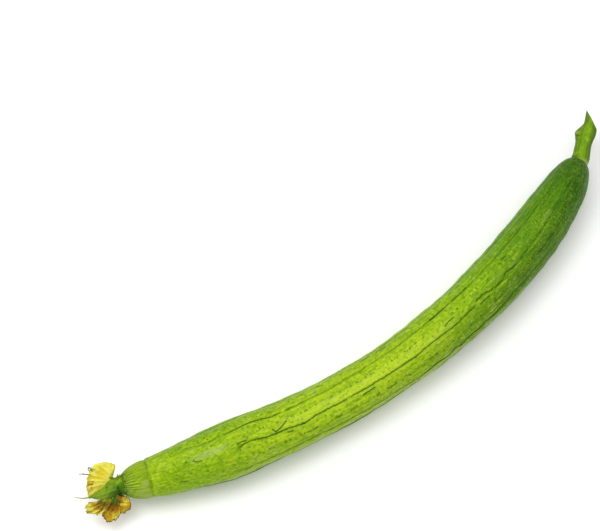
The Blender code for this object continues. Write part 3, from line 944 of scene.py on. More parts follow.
@dataclass
class Gourd:
    """The fruit: a tapering bent body with wandering furrows, a ribbed collar and a rounded shoulder."""

    form: Form
    finish: SkinFinish = SkinFinish()
    rings: int = 610
    furrows: int = 9
    first_furrow: float = math.radians(114.6)
    columns: tuple[float, ...] = (0.0, 0.022, 0.05, 0.09, 0.15, 0.22, 0.30, 0.38, 0.46)
    furrow_depth: float = 0.00055
    furrow_width: float = 0.00075
    trough_depth: float = 0.00035
    trough_width: float = 0.0030
    rib_height: float = 0.00020
    furrow_reach: Edges = (0.055, 0.075, 0.474, 0.494)
    trough_reach: Edges = (0.030, 0.065, 0.470, 0.502)
    wave_reach: Edges = (0.004, 0.030, 0.490, 0.508)
    collar_reach: Edges = (0.001, 0.006, 0.009, 0.019)
    wander: float = math.radians(2.2)
    wander_from: Span = (0.055, 0.115)
    wander_waves: tuple[Triple, ...] = ((1.0, 31.0, 1.7), (0.6, 83.0, 2.9), (0.35, 251.0, 1.0))
    shared_from: Span = (0.2, 0.8)
    blurs: Span = (1.7, 1.4)
    crowding: Triple = (0.1425, 0.10, 0.03)
    undulation: float = 0.00022
    wave: Ripple = Ripple((15.0, 130.0), 4, 5)
    fold: Ripple = Ripple((120.0, 420.0), 9, 6)
    uneven: Ripple = Ripple((30.0, 160.0), 9, 14)
    bead: Triple = (0.0003, 0.0022, 0.0016)
    sink: float = 0.00020
    neck_inset: float = 0.0010
    usual_bold: float = 0.62
    bold_waves: tuple[Triple, ...] = ((0.30, 47.0, 2.1),)
    rest_reach: Span = (0.040, math.radians(30.0))
    collar_ribs: int = 36
    collar_rib_height: float = 0.00022
    belly: float = math.radians(270.0)
    belly_furrow: int = 4

    # The furrows that show: arcs in millimetres, with degrees off the even place, then with boldness
    turns: tuple[tuple[int, Knots], ...] = (
        (8, ((41, 5.1), (62, 4.3), (81, 5.3), (96, -1.8), (119, -4.9), (135, 1.7), (171, -0.6), (247, -3.2),
             (300, -5.2), (340, -5.1), (423, -6.1), (474, -7.6))),
        (0, ((99, -0.5), (107, -5.6), (117, -4.7), (126, 0.2), (146, 0.6), (160, 5.2), (171, 0.3),
             (213, 0.2), (245, 1.1), (257, 0.8), (273, 2.5), (281, -0.3), (300, -0.2), (315, 1.8),
             (327, -1.1), (338, -0.9), (342, -8.0), (351, -7.9), (356, -1.9), (371, 1.0), (374, -4.0),
             (380, -5.9), (384, -1.9), (395, -1.9), (408, -4.9), (451, -8.5), (484, -11.6),
             (509, -12.6))),
        (1, ((89, 13.2), (104, 10.3), (129, 10.0), (168, 8.0), (188, 12.2), (247, 11.8), (261, 17.0),
             (285, 10.9), (295, 16.2), (304, 9.5), (311, 15.6), (315, 8.6), (338, 6.6), (349, 7.4),
             (360, 4.2), (373, 1.8), (387, 3.6), (412, 1.0), (433, 3.5))),
    )
    bold: tuple[tuple[int, Knots], ...] = (
        (8, ((41, 0.0), (52, 0.5), (81, 0.5), (92, 0.7), (108, 0.9), (146, 0.9), (171, 0.5), (246, 0.5),
             (298, 0.6), (302, 1.0), (343, 1.0), (350, 0.6), (423, 0.6), (462, 0.5), (482, 0.0))),
        (0, ((97, 0.0), (102, 0.8), (117, 1.0), (235, 0.9), (257, 1.0), (336, 0.9), (339, 0.2), (342, 1.0),
             (370, 1.0), (372, 0.2), (375, 1.0), (398, 1.0), (409, 0.6), (451, 0.7), (464, 0.3), (480, 0.7),
             (498, 0.5), (508, 0.0))),
        (1, ((89, 0.0), (96, 0.4), (168, 0.6), (246, 0.5), (280, 1.0), (390, 1.0), (412, 0.5), (440, 0.3),
             (470, 0.0))),
    )
    # Short scars, as lines through points of arc in millimetres and degrees round the fruit
    scars: tuple[Knots, ...] = (
        ((132.9, 104.6), (134.7, 111.4), (139.8, 107.6), (146.4, 99.4)),
        ((101.0, 105.6), (104.4, 103.6), (108.8, 104.5)), ((62.0, 105.7), (63.9, 109.1), (68.3, 110.7)),
        ((143.9, 122.2), (148.4, 124.3)), ((157.8, 116.8), (160.1, 120.4)),
        ((214.8, 124.3), (226.4, 123.4)), ((305.3, 104.0), (309.6, 100.9), (316.1, 99.9)),
        ((341.9, 118.4), (352.5, 118.6)), ((228.9, 50.8), (238.2, 50.7)), ((246.8, 49.8), (255.4, 49.8)),
        ((300.1, 67.7), (304.4, 69.7)), ((383.2, 83.8), (387.7, 85.2)), ((48.5, 147.4), (53.2, 149.0)),
        ((408.1, 133.4), (430.7, 133.1)), ((304.4, 164.0), (310.7, 161.7), (314.6, 165.0)),
        ((212.0, 205.0), (226.0, 208.0)), ((318.0, 20.0), (329.0, 16.0)), ((244.0, 335.0), (252.0, 341.0)),
        ((350.0, 300.0), (360.0, 304.0)),
    )

    @property
    def sector(self) -> float:
        """The angle between furrows."""
        return math.tau / self.furrows

    def arcs(self) -> Array:
        """Arcs of the rings: even, less a sine and a bell that crowd them at the ends."""
        share = np.linspace(0.0, 1.0, self.rings)
        start, end = self.form.neck_arc - self.neck_inset, self.form.end_arc
        both, neck, reach = self.crowding
        eased = share - both * np.sin(math.tau * share) / math.tau
        eased = eased - neck * bell(share, 0.0, reach) * share
        return start + (end - start) * (eased - eased[0]) / (eased[-1] - eased[0])

    def furrow_turn(self, furrow: int, arc: Array) -> Array:
        """How far a furrow is turned off its even place: as drawn, or by a sum of sines.

        Args:
            furrow: which one.
            arc: arcs of the rings.

        Returns:
            Angles, in radians.
        """
        if furrow == self.belly_furrow:
            return np.full_like(arc, self.belly - (self.first_furrow + self.sector * furrow))
        turns = dict(self.turns)
        if furrow in turns:
            turn = np.radians(through(arc / MM, turns[furrow], self.blurs[0]))
        else:
            turn = self.wander * sines(arc, self.wander_waves, furrow)
        return turn * ramp(arc, *self.wander_from)

    def boldness(self, furrow: int, arc: Array) -> Array:
        """How bold a furrow is: as drawn, or a slow sine about its usual boldness."""
        bold = dict(self.bold)
        if furrow in bold:
            return through(arc / MM, bold[furrow], self.blurs[1])
        return self.usual_bold + sines(arc, self.bold_waves, furrow)

    def place_on_furrows(self, arc: Array) -> tuple[Array, Array, Array]:
        """Angles of the columns, which follow the wandering furrows, and each one's place among them.

        The angle is the first furrow's plus the place times a sector, plus the turns of the nearest
        furrows, weighted so that the column on a furrow takes exactly its turn. The belly's furrow
        stays straight.

        Args:
            arc: arcs of the rings, as a column.

        Returns:
            Angles, places in furrows, and how bold the nearest furrow is there.
        """
        half = np.array(self.columns)
        shares = np.concatenate([half, 1.0 - half[:0:-1]])
        place = (np.arange(self.furrows)[:, None] + shares[None, :]).ravel()[None, :]
        angle = self.first_furrow + self.sector * place + np.zeros_like(arc)
        strength = np.zeros_like(angle)
        middle = self.furrows / 2.0
        for furrow in range(self.furrows):
            away = np.abs(np.remainder(place - furrow + middle, self.furrows) - middle)
            angle = angle + (1.0 - ramp(away, *self.shared_from)) * self.furrow_turn(furrow, arc)
            strength = np.where(away <= 0.5, self.boldness(furrow, arc), strength)
        return angle, place, np.clip(strength, 0.0, 1.0) * window(arc, self.furrow_reach)

    def relief(self, arc: Array, angle: Array, off_line: Array, phase: Array, strength: Array) -> Array:
        """The skin's relief: a groove and a wide trough in each furrow, a low rib between, slow waves.

        Args:
            arc: arcs of the rings.
            angle: angles of the columns.
            off_line: distance from the nearest furrow.
            phase: place among the furrows, as an angle that turns once from one to the next.
            strength: how bold the nearest furrow is.

        Returns:
            Heights over the plain radius, nearly none where the fruit rests.
        """
        groove = self.furrow_depth * strength * bell(off_line, 0.0, self.furrow_width)
        trough = self.trough_depth * bell(off_line, 0.0, self.trough_width)
        rib = self.rib_height * (0.5 - 0.5 * np.cos(phase))
        waves = self.wave.at(arc, angle) + 0.5 * self.fold.at(arc, angle)
        height = (rib - trough) * window(arc, self.trough_reach) - groove - self.sink
        height = height + self.undulation * waves * window(arc, self.wave_reach)
        along, around = self.rest_reach
        resting = np.clip(sum(bell(arc, at, along) for at in self.form.rests), 0.0, 1.0)
        return height * (1.0 - resting * bell(angle, self.belly, around))

    def collar(self, arc: Array, angle: Array, phase: Array) -> Array:
        """The collar's uneven ribs, weaker above, and the ring's bead past its crease.

        Args:
            arc: arcs of the rings.
            angle: angles of the columns.
            phase: place among the furrows, as an angle.

        Returns:
            Heights over the plain radius.
        """
        uneven = (0.65 + 0.55 * self.uneven.at(arc, angle)) * ramp(-np.cos(angle), -0.8, 0.6)
        ribs = self.collar_rib_height * np.cos(self.collar_ribs / self.furrows * phase)
        height, past, width = self.bead
        bead = height * bell(arc, self.form.ring_arc + past, width)
        bead = bead * (1.0 + 0.5 * np.sin(3.0 * angle + 0.4))
        return ribs * uneven * window(arc, self.collar_reach) + bead

    def surface(self) -> tuple[Array, Fields]:
        """The skin: radius plus relief round the centre line, pressed flat on the surface below.

        Returns:
            Points in rings, and the fields that the finish reads.
        """
        form = self.form
        arc = self.arcs()[:, None]
        angle, place, strength = self.place_on_furrows(arc)
        plain = form.radius(arc) + np.zeros_like(angle)
        phase = math.tau * place + np.zeros_like(angle)
        off_line = np.abs(np.remainder(place + 0.5, 1.0) - 0.5) * self.sector * plain
        radius = plain + self.relief(arc, angle, off_line, phase, strength) + self.collar(arc, angle, phase)
        centre = form.centre_line(arc)
        turn = form.heading(arc)
        aside = radius * np.cos(angle)
        x = centre[..., 0] - aside * np.sin(turn)
        y = centre[..., 1] + aside * np.cos(turn)
        z = np.maximum(centre[..., 2] + radius * np.sin(angle), 0.0)
        arcs = arc + np.zeros_like(angle)
        fields = {
            "flat": np.stack([arcs, plain * np.cos(angle), plain * np.sin(angle)], -1),
            "line": np.stack([np.cos(phase), np.sin(phase), strength], -1),
            "girth": plain,
        }
        return np.stack([x, y, z], -1), fields

    def scar_ends(self) -> tuple[Straight, ...]:
        """Both ends of each scar's straight pieces, in the skin's unrolled straight coordinates."""
        ends = []
        for line in self.scars:
            arc, angle = np.array(line).T
            arc, angle = arc * MM, np.radians(angle)
            radius = self.form.radius(arc)
            points = np.stack([arc, radius * np.cos(angle), radius * np.sin(angle)], -1)
            ends += list(zip(points[:-1], points[1:]))
        return tuple(ends)

    def build(self) -> None:
        """Make the fruit and dress it."""
        skin = Skin(self.finish, self.form, self.sector).built(self.scar_ends())
        add_piece("gourd_body", "fruit", [round_shell(*self.surface())], skin)


# The stalk


@dataclass(frozen=True)
class StalkFinish:
    """Ribbed yellow-green stem: painted shade in its grooves, under it and in the crease by the knob, painted
    highlights, brown at the leaf scar, pale where it is cut.
    """

    crown: Colour = linear(112, 150, 2)
    # groove is also painted shade in the rib grooves; side is painted shade under the stem and on one side of
    # its foot.
    groove: Colour = linear(74, 114, 2)
    side: Colour = linear(42, 74, 2)
    # bright is also the colour of the painted highlights.
    bright: Colour = linear(142, 182, 24)
    # foot is painted light on one side of the foot, and the colour of pale specks.
    foot: Colour = linear(156, 174, 70)
    tip: Colour = linear(92, 118, 20)
    scar: Colour = linear(150, 160, 62)
    # The painted shadow in the crease beneath the knob.
    scar_edge: Colour = linear(40, 62, 2)
    pith: Colour = linear(206, 218, 150)
    fibre: Colour = linear(146, 168, 70)
    rind: Colour = linear(88, 112, 30)
    streak: Noise = Noise((45.0, 900.0, 900.0), 3.0, 0.6)
    blotch: Noise = Noise((160.0, 240.0, 240.0), 3.0, 0.6)
    fine: Noise = Noise((500.0, 620.0, 620.0), 3.0, 0.65)
    glow_side: Triple = (0.0016, 0.0036, 0.0006)
    glows: tuple[Triple, Triple] = ((0.0085, 0.007, 0.001), (0.0200, 0.006, 0.001))
    painted_shade_below: Span = (0.0070, 0.0008)
    tip_from: Span = (0.040, 0.053)
    foot_reach: Span = (0.0045, 0.0004)
    speck_cells: Triple = (520.0, 900.0, 900.0)
    bundle_cells: Triple = (900.0, 900.0, 900.0)
    relief: float = 0.0003
    roughness: Span = (0.42, 0.62)
    specular: float = 0.14

    def material(self) -> Material:
        """The stem's material, with its cut face."""
        shade = Shade("gourd_stalk")
        flat = shade.field("flat")
        along, aside, up = shade.parts(flat)
        relief, cut, inward = shade.parts(shade.field("stem"))
        scar, shadow, _ = shade.parts(shade.field("scar"))
        streak = shade.noise(flat, self.streak)
        blotch = shade.noise(flat, self.blotch)
        # Painted shade in the rib grooves, lighter on the crowns.
        shade.colour = shade.mix(0.30 + 0.70 * relief.step(-0.9, 0.5), self.groove, self.crown)
        shade.lay(streak.step(0.42, 0.68) * 0.40, self.groove)
        shade.lay(blotch.step(0.46, 0.70) * 0.55, self.bright)
        shade.lay(shade.noise(flat, self.fine).step(0.50, 0.66) * 0.45, self.groove)
        # Painted highlights: two bright spots along one side.
        first, second = self.glows
        glow = aside.near(*self.glow_side) * blotch.step(0.36, 0.60)
        glow = glow * along.near(*first).most(along.near(*second))
        shade.lay(glow * 0.60, self.bright)
        # Painted shade under the stem.
        shade.lay(up.step(*self.painted_shade_below) * 0.88, self.side)
        shade.lay(along.step(*self.tip_from) * 0.60, self.tip)
        # At the foot, painted light on one side and painted shade on the other.
        near_foot = along.step(*self.foot_reach)
        shade.lay(near_foot * (-1.0 * aside).step(-0.001, 0.006) * 0.75, self.foot)
        shade.lay(near_foot * aside.step(0.000, 0.006) * 0.60, self.side)
        shade.lay(scar * (0.55 + 0.45 * blotch), self.scar)
        # Painted shadow in the crease beneath the knob.
        shade.lay(shadow, self.scar_edge)
        specks = shade.spots(flat, self.speck_cells)
        shade.lay(specks.step(0.30, 0.12) * 0.22, self.foot)
        # The cut face: pale pith, a ring of darker bundles, and a green rind that has begun to dry
        bundles = shade.spots(flat, self.bundle_cells)
        ring = inward.step(0.20, 0.32) * inward.step(0.62, 0.46)
        face = shade.mix(ring * bundles.step(0.55, 0.20), self.pith, self.fibre)
        face = shade.mix(streak.step(0.45, 0.65) * 0.30, face, self.fibre)
        face = shade.mix(inward.step(0.15, 0.03), face, self.rind)
        shade.lay(cut, face)
        height = 0.7 * streak + 0.4 * blotch - 0.5 * specks * cut + 0.5 * ring * bundles * cut
        smooth, rough = self.roughness
        satin = smooth + (rough - smooth) * streak + 0.12 * cut
        return shade.finish(satin, shade.bump(height, self.relief, 0.8), self.specular)


@dataclass
class Stalk:
    """The stem: a bent ribbed cylinder with a leaf scar and a scoop, cut off slantwise to a point."""

    form: Form
    finish: StalkFinish = StalkFinish()
    rings: int = 190
    sides: int = 150
    face_rings: int = 36
    length: float = 0.0550
    bend: float = math.radians(14.0)
    bend_length: float = 0.007
    radius: float = 0.0070
    flare: float = 0.0006
    flare_length: float = 0.012
    widening: float = 0.0024
    widens: Span = (0.018, 0.036)
    knob: Edges = (0.0270, 0.0020, 0.0050, 0.8)
    knob_crease: Triple = (0.0007, 0.0026, 0.0009)
    scoop: Span = (0.0285, 0.0400)
    scoop_depth: float = 0.0043
    end_height: float = 0.55
    ribs: int = 5
    rib_height: float = 0.0004
    fine_ribs: int = 17
    fine_rib_height: float = 0.00016
    rib_phases: Span = (0.6, 1.3)
    rib_drift: float = 14.0
    lump_height: float = 0.00010
    lumps: Ripple = Ripple((90.0, 500.0), 5, 21)
    scar: Span = (0.0003, 0.0017)
    scar_shadow: Span = (0.0031, 0.0010)
    scar_reach: Span = (0.25, 0.62)
    cut_corner: Span = (0.0342, -0.0096)
    cut_tip: Span = (0.0525, 0.0031)
    cut_rise: Triple = (-0.381, -0.183, 0.906)
    face_dish: float = 0.0005
    foot_overlap: float = 0.0012
    bend_points: int = 401
    search_points: int = 1601

    def bent(self, x: Array, y: Array) -> tuple[Array, Array]:
        """The straight shape turned aside past its foot: a turn summed along it, and y across that.

        Args:
            x: distance along the straight shape.
            y: distance aside.

        Returns:
            Distances along and aside of the bent shape.
        """
        fine = np.linspace(0.0, self.length, self.bend_points)
        turn = self.bend * ramp(fine, 0.0, self.bend_length)
        along = np.interp(x, fine, np.cumsum(np.cos(turn)) * fine[1])
        aside = np.interp(x, fine, np.cumsum(np.sin(turn)) * fine[1])
        here = np.interp(x, fine, turn)
        return along - y * np.sin(here), aside + y * np.cos(here)

    def skin(self, length: Array, angle: Array) -> tuple[Array, Array]:
        """The uncut skin: a radius with ribs, a flared foot and a knob, widened to one side and scooped.

        Args:
            length: distance along it.
            angle: angle from +Z towards +Y.

        Returns:
            Points in the stalk's frame, and the height of the ribs from -1 to 1.
        """
        radius = self.radius + self.flare * (1.0 - ramp(length, 0.0, self.flare_length))
        main = np.cos(self.ribs * angle + self.rib_phases[0])
        fine = np.cos(self.fine_ribs * angle + self.rib_phases[1] + self.rib_drift * length)
        lumps = self.lump_height * self.lumps.at(length, angle)
        radius = radius + self.rib_height * main + self.fine_rib_height * fine + lumps
        at, height, reach, width = self.knob
        around = bell(np.remainder(angle, math.tau), math.pi / 2.0, width)
        lip = height * bell(length, at, reach) * around
        deep, before, breadth = self.knob_crease
        crease = deep * bell(length, at - before, breadth) * around
        y = (radius + lip - crease) * np.sin(angle)
        wide = 1.0 + self.widening / self.radius * ramp(length, *self.widens)
        y = np.where(y < 0.0, y * wide, y)
        y = y - self.scoop_depth * ramp(length, *self.scoop) * (0.5 + 0.5 * y / self.radius)
        flattened = 1.0 - (1.0 - self.end_height) * ramp(length, self.scoop[0], self.length)
        z = radius * np.cos(angle) * flattened
        along, aside = self.bent(length, y)
        return np.stack([along, aside, z], -1), (main + 0.6 * fine) / 1.6

    def cut_plane(self) -> tuple[Array, Array]:
        """A point of the cut and its outward normal: across the line from its corner to its tip."""
        ends = (self.bent(np.array(x), np.array(y)) for x, y in (self.cut_corner, self.cut_tip))
        corner, tip = (np.array([*end, 0.0]) for end in ends)
        return corner, np.cross(tip - corner, np.array(self.cut_rise))

    def cut_lengths(self, angle: Array) -> Array:
        """How long each line of the skin is up to the first place where it crosses the cut.

        Args:
            angle: the lines' angles, as a row.

        Returns:
            Lengths, found by linear steps between close points.
        """
        fine = np.linspace(0.0, self.length, self.search_points)[:, None]
        corner, out = self.cut_plane()
        side = (self.skin(fine, angle)[0] - corner) @ out
        after = np.argmax(side > 0.0, axis=0)
        columns = np.arange(self.sides)
        low, high = side[after - 1, columns], side[after, columns]
        stop = (after - 1 - low / (high - low)) * fine[1, 0]
        return np.where((side > 0.0).any(axis=0), stop, self.length)[None, :]

    def surface(self) -> tuple[Array, Fields]:
        """Skin rings from the foot to the cut, then rings of the cut face drawn in to its middle.

        Returns:
            Points in rings in the stalk's frame, and the fields that the finish reads.
        """
        angle = ring_angles(self.sides)
        share = shares(self.rings) ** 1.05
        length = share * self.cut_lengths(angle)
        points, relief = self.skin(length, angle)
        points[0, :, 0] -= self.foot_overlap
        rim = points[-1]
        inward = (np.arange(1, self.face_rings) / self.face_rings)[:, None, None] ** 1.4
        dish = -self.face_dish * np.sin(math.pi * np.clip(1.3 * inward, 0.0, 1.0)) * unit(self.cut_plane()[1])
        rings = np.concatenate([points, rim + (rim.mean(axis=0) - rim) * inward + dish])
        turn, width = self.scar_reach
        around = bell(np.remainder(angle, math.tau), math.pi / 2.0 - turn, width)
        scar, shadow = (
            bell(length, self.knob[0] - before, reach) * around
            for before, reach in (self.scar, self.scar_shadow)
        )
        edge, none = np.zeros((self.face_rings - 1, self.sides)), np.zeros_like(relief)
        face = np.stack([edge, edge + 1.0, edge + inward[..., 0]], -1)
        stem = np.concatenate([np.stack([relief, none, none], -1), face])
        stem[self.rings - 1, :, 1] = 0.5
        marks = np.concatenate([np.stack([scar, shadow, none], -1), np.zeros_like(face)])
        return rings, {"flat": rings, "stem": stem, "scar": marks}

    def build(self) -> None:
        """Make the stalk and dress it."""
        shell = round_shell(*self.surface()).placed(self.form.end_frame(self.form.end_arc, 0.0))
        add_piece("gourd_stalk", "stalk", [shell], self.finish.material())


# The flower, in its own frame: +X out of the fruit, +Y to the side that bulges, +Z up


GAP = 0.0003
RECEPTACLE_LENGTH = 0.0046
THROAT_START = RECEPTACLE_LENGTH + GAP
MIDLINE_POINTS = 601
HAIR_ACROSS = (0.31, 0.87, 0.38)  # a direction that hardly any hair runs along
HAIR_REACH = (-0.15, 0.5, 1.0)  # where a hair's three rings stand, as shares of its length
HAIR_WIDTH = (1.0, 0.7, 0.15)  # how thick it is there, as shares of its thickness
HAIR_SAG = 0.18
HAIR_SIDES = 4


@dataclass(frozen=True)
class Petal:
    """A petal: its place round the flower, how its blade turns, its outline, folds and tint."""

    around: float  # degrees from +Y towards +Z
    lean: float  # degrees from the flower's axis to the midline, at the root
    curl: float  # degrees that the lean grows by from the root to the margin
    twist: float  # degrees that the blade turns about its midline
    length: float
    spread: float  # degrees from the midline to each side
    pleat: float  # height of the folds at the margin
    folds: float
    phase: float
    cup: float  # height of the sides over the midline, as a share of their distance
    crumple: float  # height of the random creases
    amber: float  # how far it has turned from pale yellow to amber
    brown: float  # how far its margin has dried brown
    ragged: float = 1.0  # how uneven the margin is
    stain_at: float = 0.6  # where along it the russet stain lies
    lopsided: float = 0.0  # how much deeper the tint is on its first side
    outline: Knots = ((-1.0, 0.78), (-0.6, 0.95), (0.0, 1.0), (0.6, 0.95), (1.0, 0.78))


@dataclass(frozen=True)
class Sepal:
    """A pointed lobe of the calyx that ends in a thread. Its angles are a petal's."""

    around: float
    lean: float
    curl: float
    length: float
    half_width: float
    thread: float  # share of the length
    sway: float = 0.0  # how far the thread bends aside
    twist: float = 0.0
    # Painted shade laid all along the sepal.
    shade: float = 0.0  # how dark it is all along


def blade_frame(around: float, lean: Array, twist: Array) -> tuple[Array, Array]:
    """Sideways direction and normal of a blade along its midline: a lean outwards, then a twist.

    Args:
        around: angle round the flower.
        lean: angle from the flower's axis, at each point.
        twist: turn about the midline, at each point.

    Returns:
        The two directions.
    """
    zero = np.zeros_like(lean)
    out = np.stack([np.cos(lean), np.sin(lean) * math.cos(around), np.sin(lean) * math.sin(around)], -1)
    aside = np.stack([zero, zero - math.sin(around), zero + math.cos(around)], -1)
    inner = np.cross(out, aside)
    turn_cos, turn_sin = np.cos(twist)[..., None], np.sin(twist)[..., None]
    return aside * turn_cos + inner * turn_sin, inner * turn_cos - aside * turn_sin


def midline(distance: Array, root: Span, blade: Petal | Sepal) -> Array:
    """Points of a blade's midline: a direction whose lean grows evenly, summed along it.

    Args:
        distance: how far along the midline.
        root: distance out and radius where it starts.
        blade: the petal or sepal.

    Returns:
        Points in the flower's frame.
    """
    steps = np.linspace(-blade.length, 2.0 * blade.length, MIDLINE_POINTS)
    curl = math.radians(blade.curl) * np.clip(steps / blade.length, 0.0, 1.0)
    angle = math.radians(blade.lean) + curl
    reach = []
    for start, rate in zip(root, (np.cos(angle), np.sin(angle))):
        sums = np.cumsum(rate) * (steps[1] - steps[0])
        reach.append(start + np.interp(distance, steps, sums) - np.interp(0.0, steps, sums))
    x, radius = reach
    around = math.radians(blade.around)
    return np.stack([x, radius * math.cos(around), radius * math.sin(around)], -1)


def blade_grid(rows: int, columns: int) -> tuple[Array, Array]:
    """Across from -1 to 1 and along from 0 to 1."""
    return tuple(np.meshgrid(np.linspace(-1.0, 1.0, columns), np.linspace(0.0, 1.0, rows)))


def turned(out: Array, radius: Array) -> Array:
    """Rings about +X, from the distance out and the radius of each point at even angles."""
    angle = ring_angles(radius.shape[1])
    return np.stack([out + np.zeros_like(radius), radius * np.cos(angle), radius * np.sin(angle)], -1)


def hairs(base: Array, direction: Array, length: Array, thick: float) -> Shell:
    """A crowd of short tapering hairs: each is three small square rings along its direction.

    Args:
        base: where each one starts.
        direction: unit direction of each one.
        length: length of each one.
        thick: radius at the base.

    Returns:
        All the hairs as one shell.
    """
    first = unit(np.cross(direction, np.array(HAIR_ACROSS)))
    second = np.cross(direction, first)
    turn = ring_angles(HAIR_SIDES)[None, ..., None]
    reach = np.array(HAIR_REACH)[None, :, None, None]
    width = np.array(HAIR_WIDTH)[None, :, None, None] * thick
    ring = np.cos(turn) * first[:, None, None, :] + np.sin(turn) * second[:, None, None, :]
    carried = reach * length[:, None, None, None]
    sag = np.array([0.0, 0.0, -HAIR_SAG]) * carried * reach
    along = direction[:, None, None, :] * carried
    points = (base[:, None, None, :] + along + sag + ring * width).reshape(-1, 3)
    rim, rings = np.arange(HAIR_SIDES), len(HAIR_REACH)
    caps = np.stack([rim[::-1], rim + (rings - 1) * HAIR_SIDES])
    one = np.concatenate([grid_faces(rings, HAIR_SIDES, True), caps])
    start = rings * HAIR_SIDES * np.arange(len(base))[:, None, None]
    faces = (one[None] + start).reshape(-1, HAIR_SIDES)
    return Shell(points, [faces], {"blade": np.tile([0.0, 0.0, 1.0], (len(points), 1))})


@dataclass(frozen=True)
class CalyxFinish:
    """Soft green calyx: fuzzy, with a pale midrib, dark spots and dried tips, and painted shade on one side
    of the knot and at the sepals' feet.
    """

    green: Colour = linear(128, 162, 26)
    olive: Colour = linear(142, 160, 14)
    dark: Colour = linear(54, 100, 4)
    deep: Colour = linear(20, 46, 2)
    pale: Colour = linear(184, 204, 104)
    dry: Colour = linear(84, 90, 30)
    fuzz: Colour = linear(146, 172, 60)
    mottle: Noise = Noise((260.0, 260.0, 260.0), 4.0, 0.6)
    pick: Noise = Noise((140.0, 140.0, 140.0), 1.0)
    fuzz_grain: Noise = Noise((2400.0, 2400.0, 2400.0))
    spot_cells: Triple = (300.0, 300.0, 300.0)
    side_ribs: Span = (0.6, 60.0)
    relief: float = 0.0003
    roughness: float = 0.72
    specular: float = 0.12

    def material(self) -> Material:
        """The calyx's material: the blade field holds place across, place along, and 1 on hairs; a number
        field holds painted shade.
        """
        shade = Shade("gourd_calyx")
        across, along, hair = shade.parts(shade.field("blade"))
        depth = shade.number("depth")
        place = shade.place()
        mottle, pick, fuzz = (shade.noise(place, kind) for kind in (self.mottle, self.pick, self.fuzz_grain))
        # Painted light and shade: olive where the shade field is lowest, green, then dark where it is
        # highest.
        shade.colour = shade.mix(depth.step(-0.9, -0.2), self.olive, self.green)
        shade.lay(mottle.step(0.42, 0.62) * (0.45 + 0.3 * depth.step(0.0, 0.6)), self.dark)
        shade.lay(depth.step(0.0, 0.85), self.dark)
        spot = shade.spots(place, self.spot_cells).step(0.34, 0.16) * pick.step(0.50, 0.62)
        shade.lay(spot * 0.85, self.deep)
        rib = abs(across).step(0.14, 0.02) * along.step(0.02, 0.15)
        shade.lay(rib * 0.26, self.pale)
        slope, count = self.side_ribs
        side_rib = ((abs(across) * slope - along) * count).cosine().step(0.80, 1.0) * along.step(0.05, 0.20)
        shade.lay(side_rib * 0.22, self.pale)
        shade.lay(fuzz.step(0.54, 0.72) * 0.30, self.fuzz)
        margin = abs(across).step(0.82, 1.0) * 0.5
        shade.lay(along.step(0.70, 0.98).most(margin) * 0.55, self.dry)
        shade.lay(hair * 0.9, self.fuzz)
        height = 0.8 * fuzz + 0.6 * mottle + 1.2 * rib + 0.7 * side_rib - spot
        rough = self.roughness + 0.12 * (fuzz - 0.5)
        return shade.finish(rough, shade.bump(height, self.relief, 0.9), self.specular)


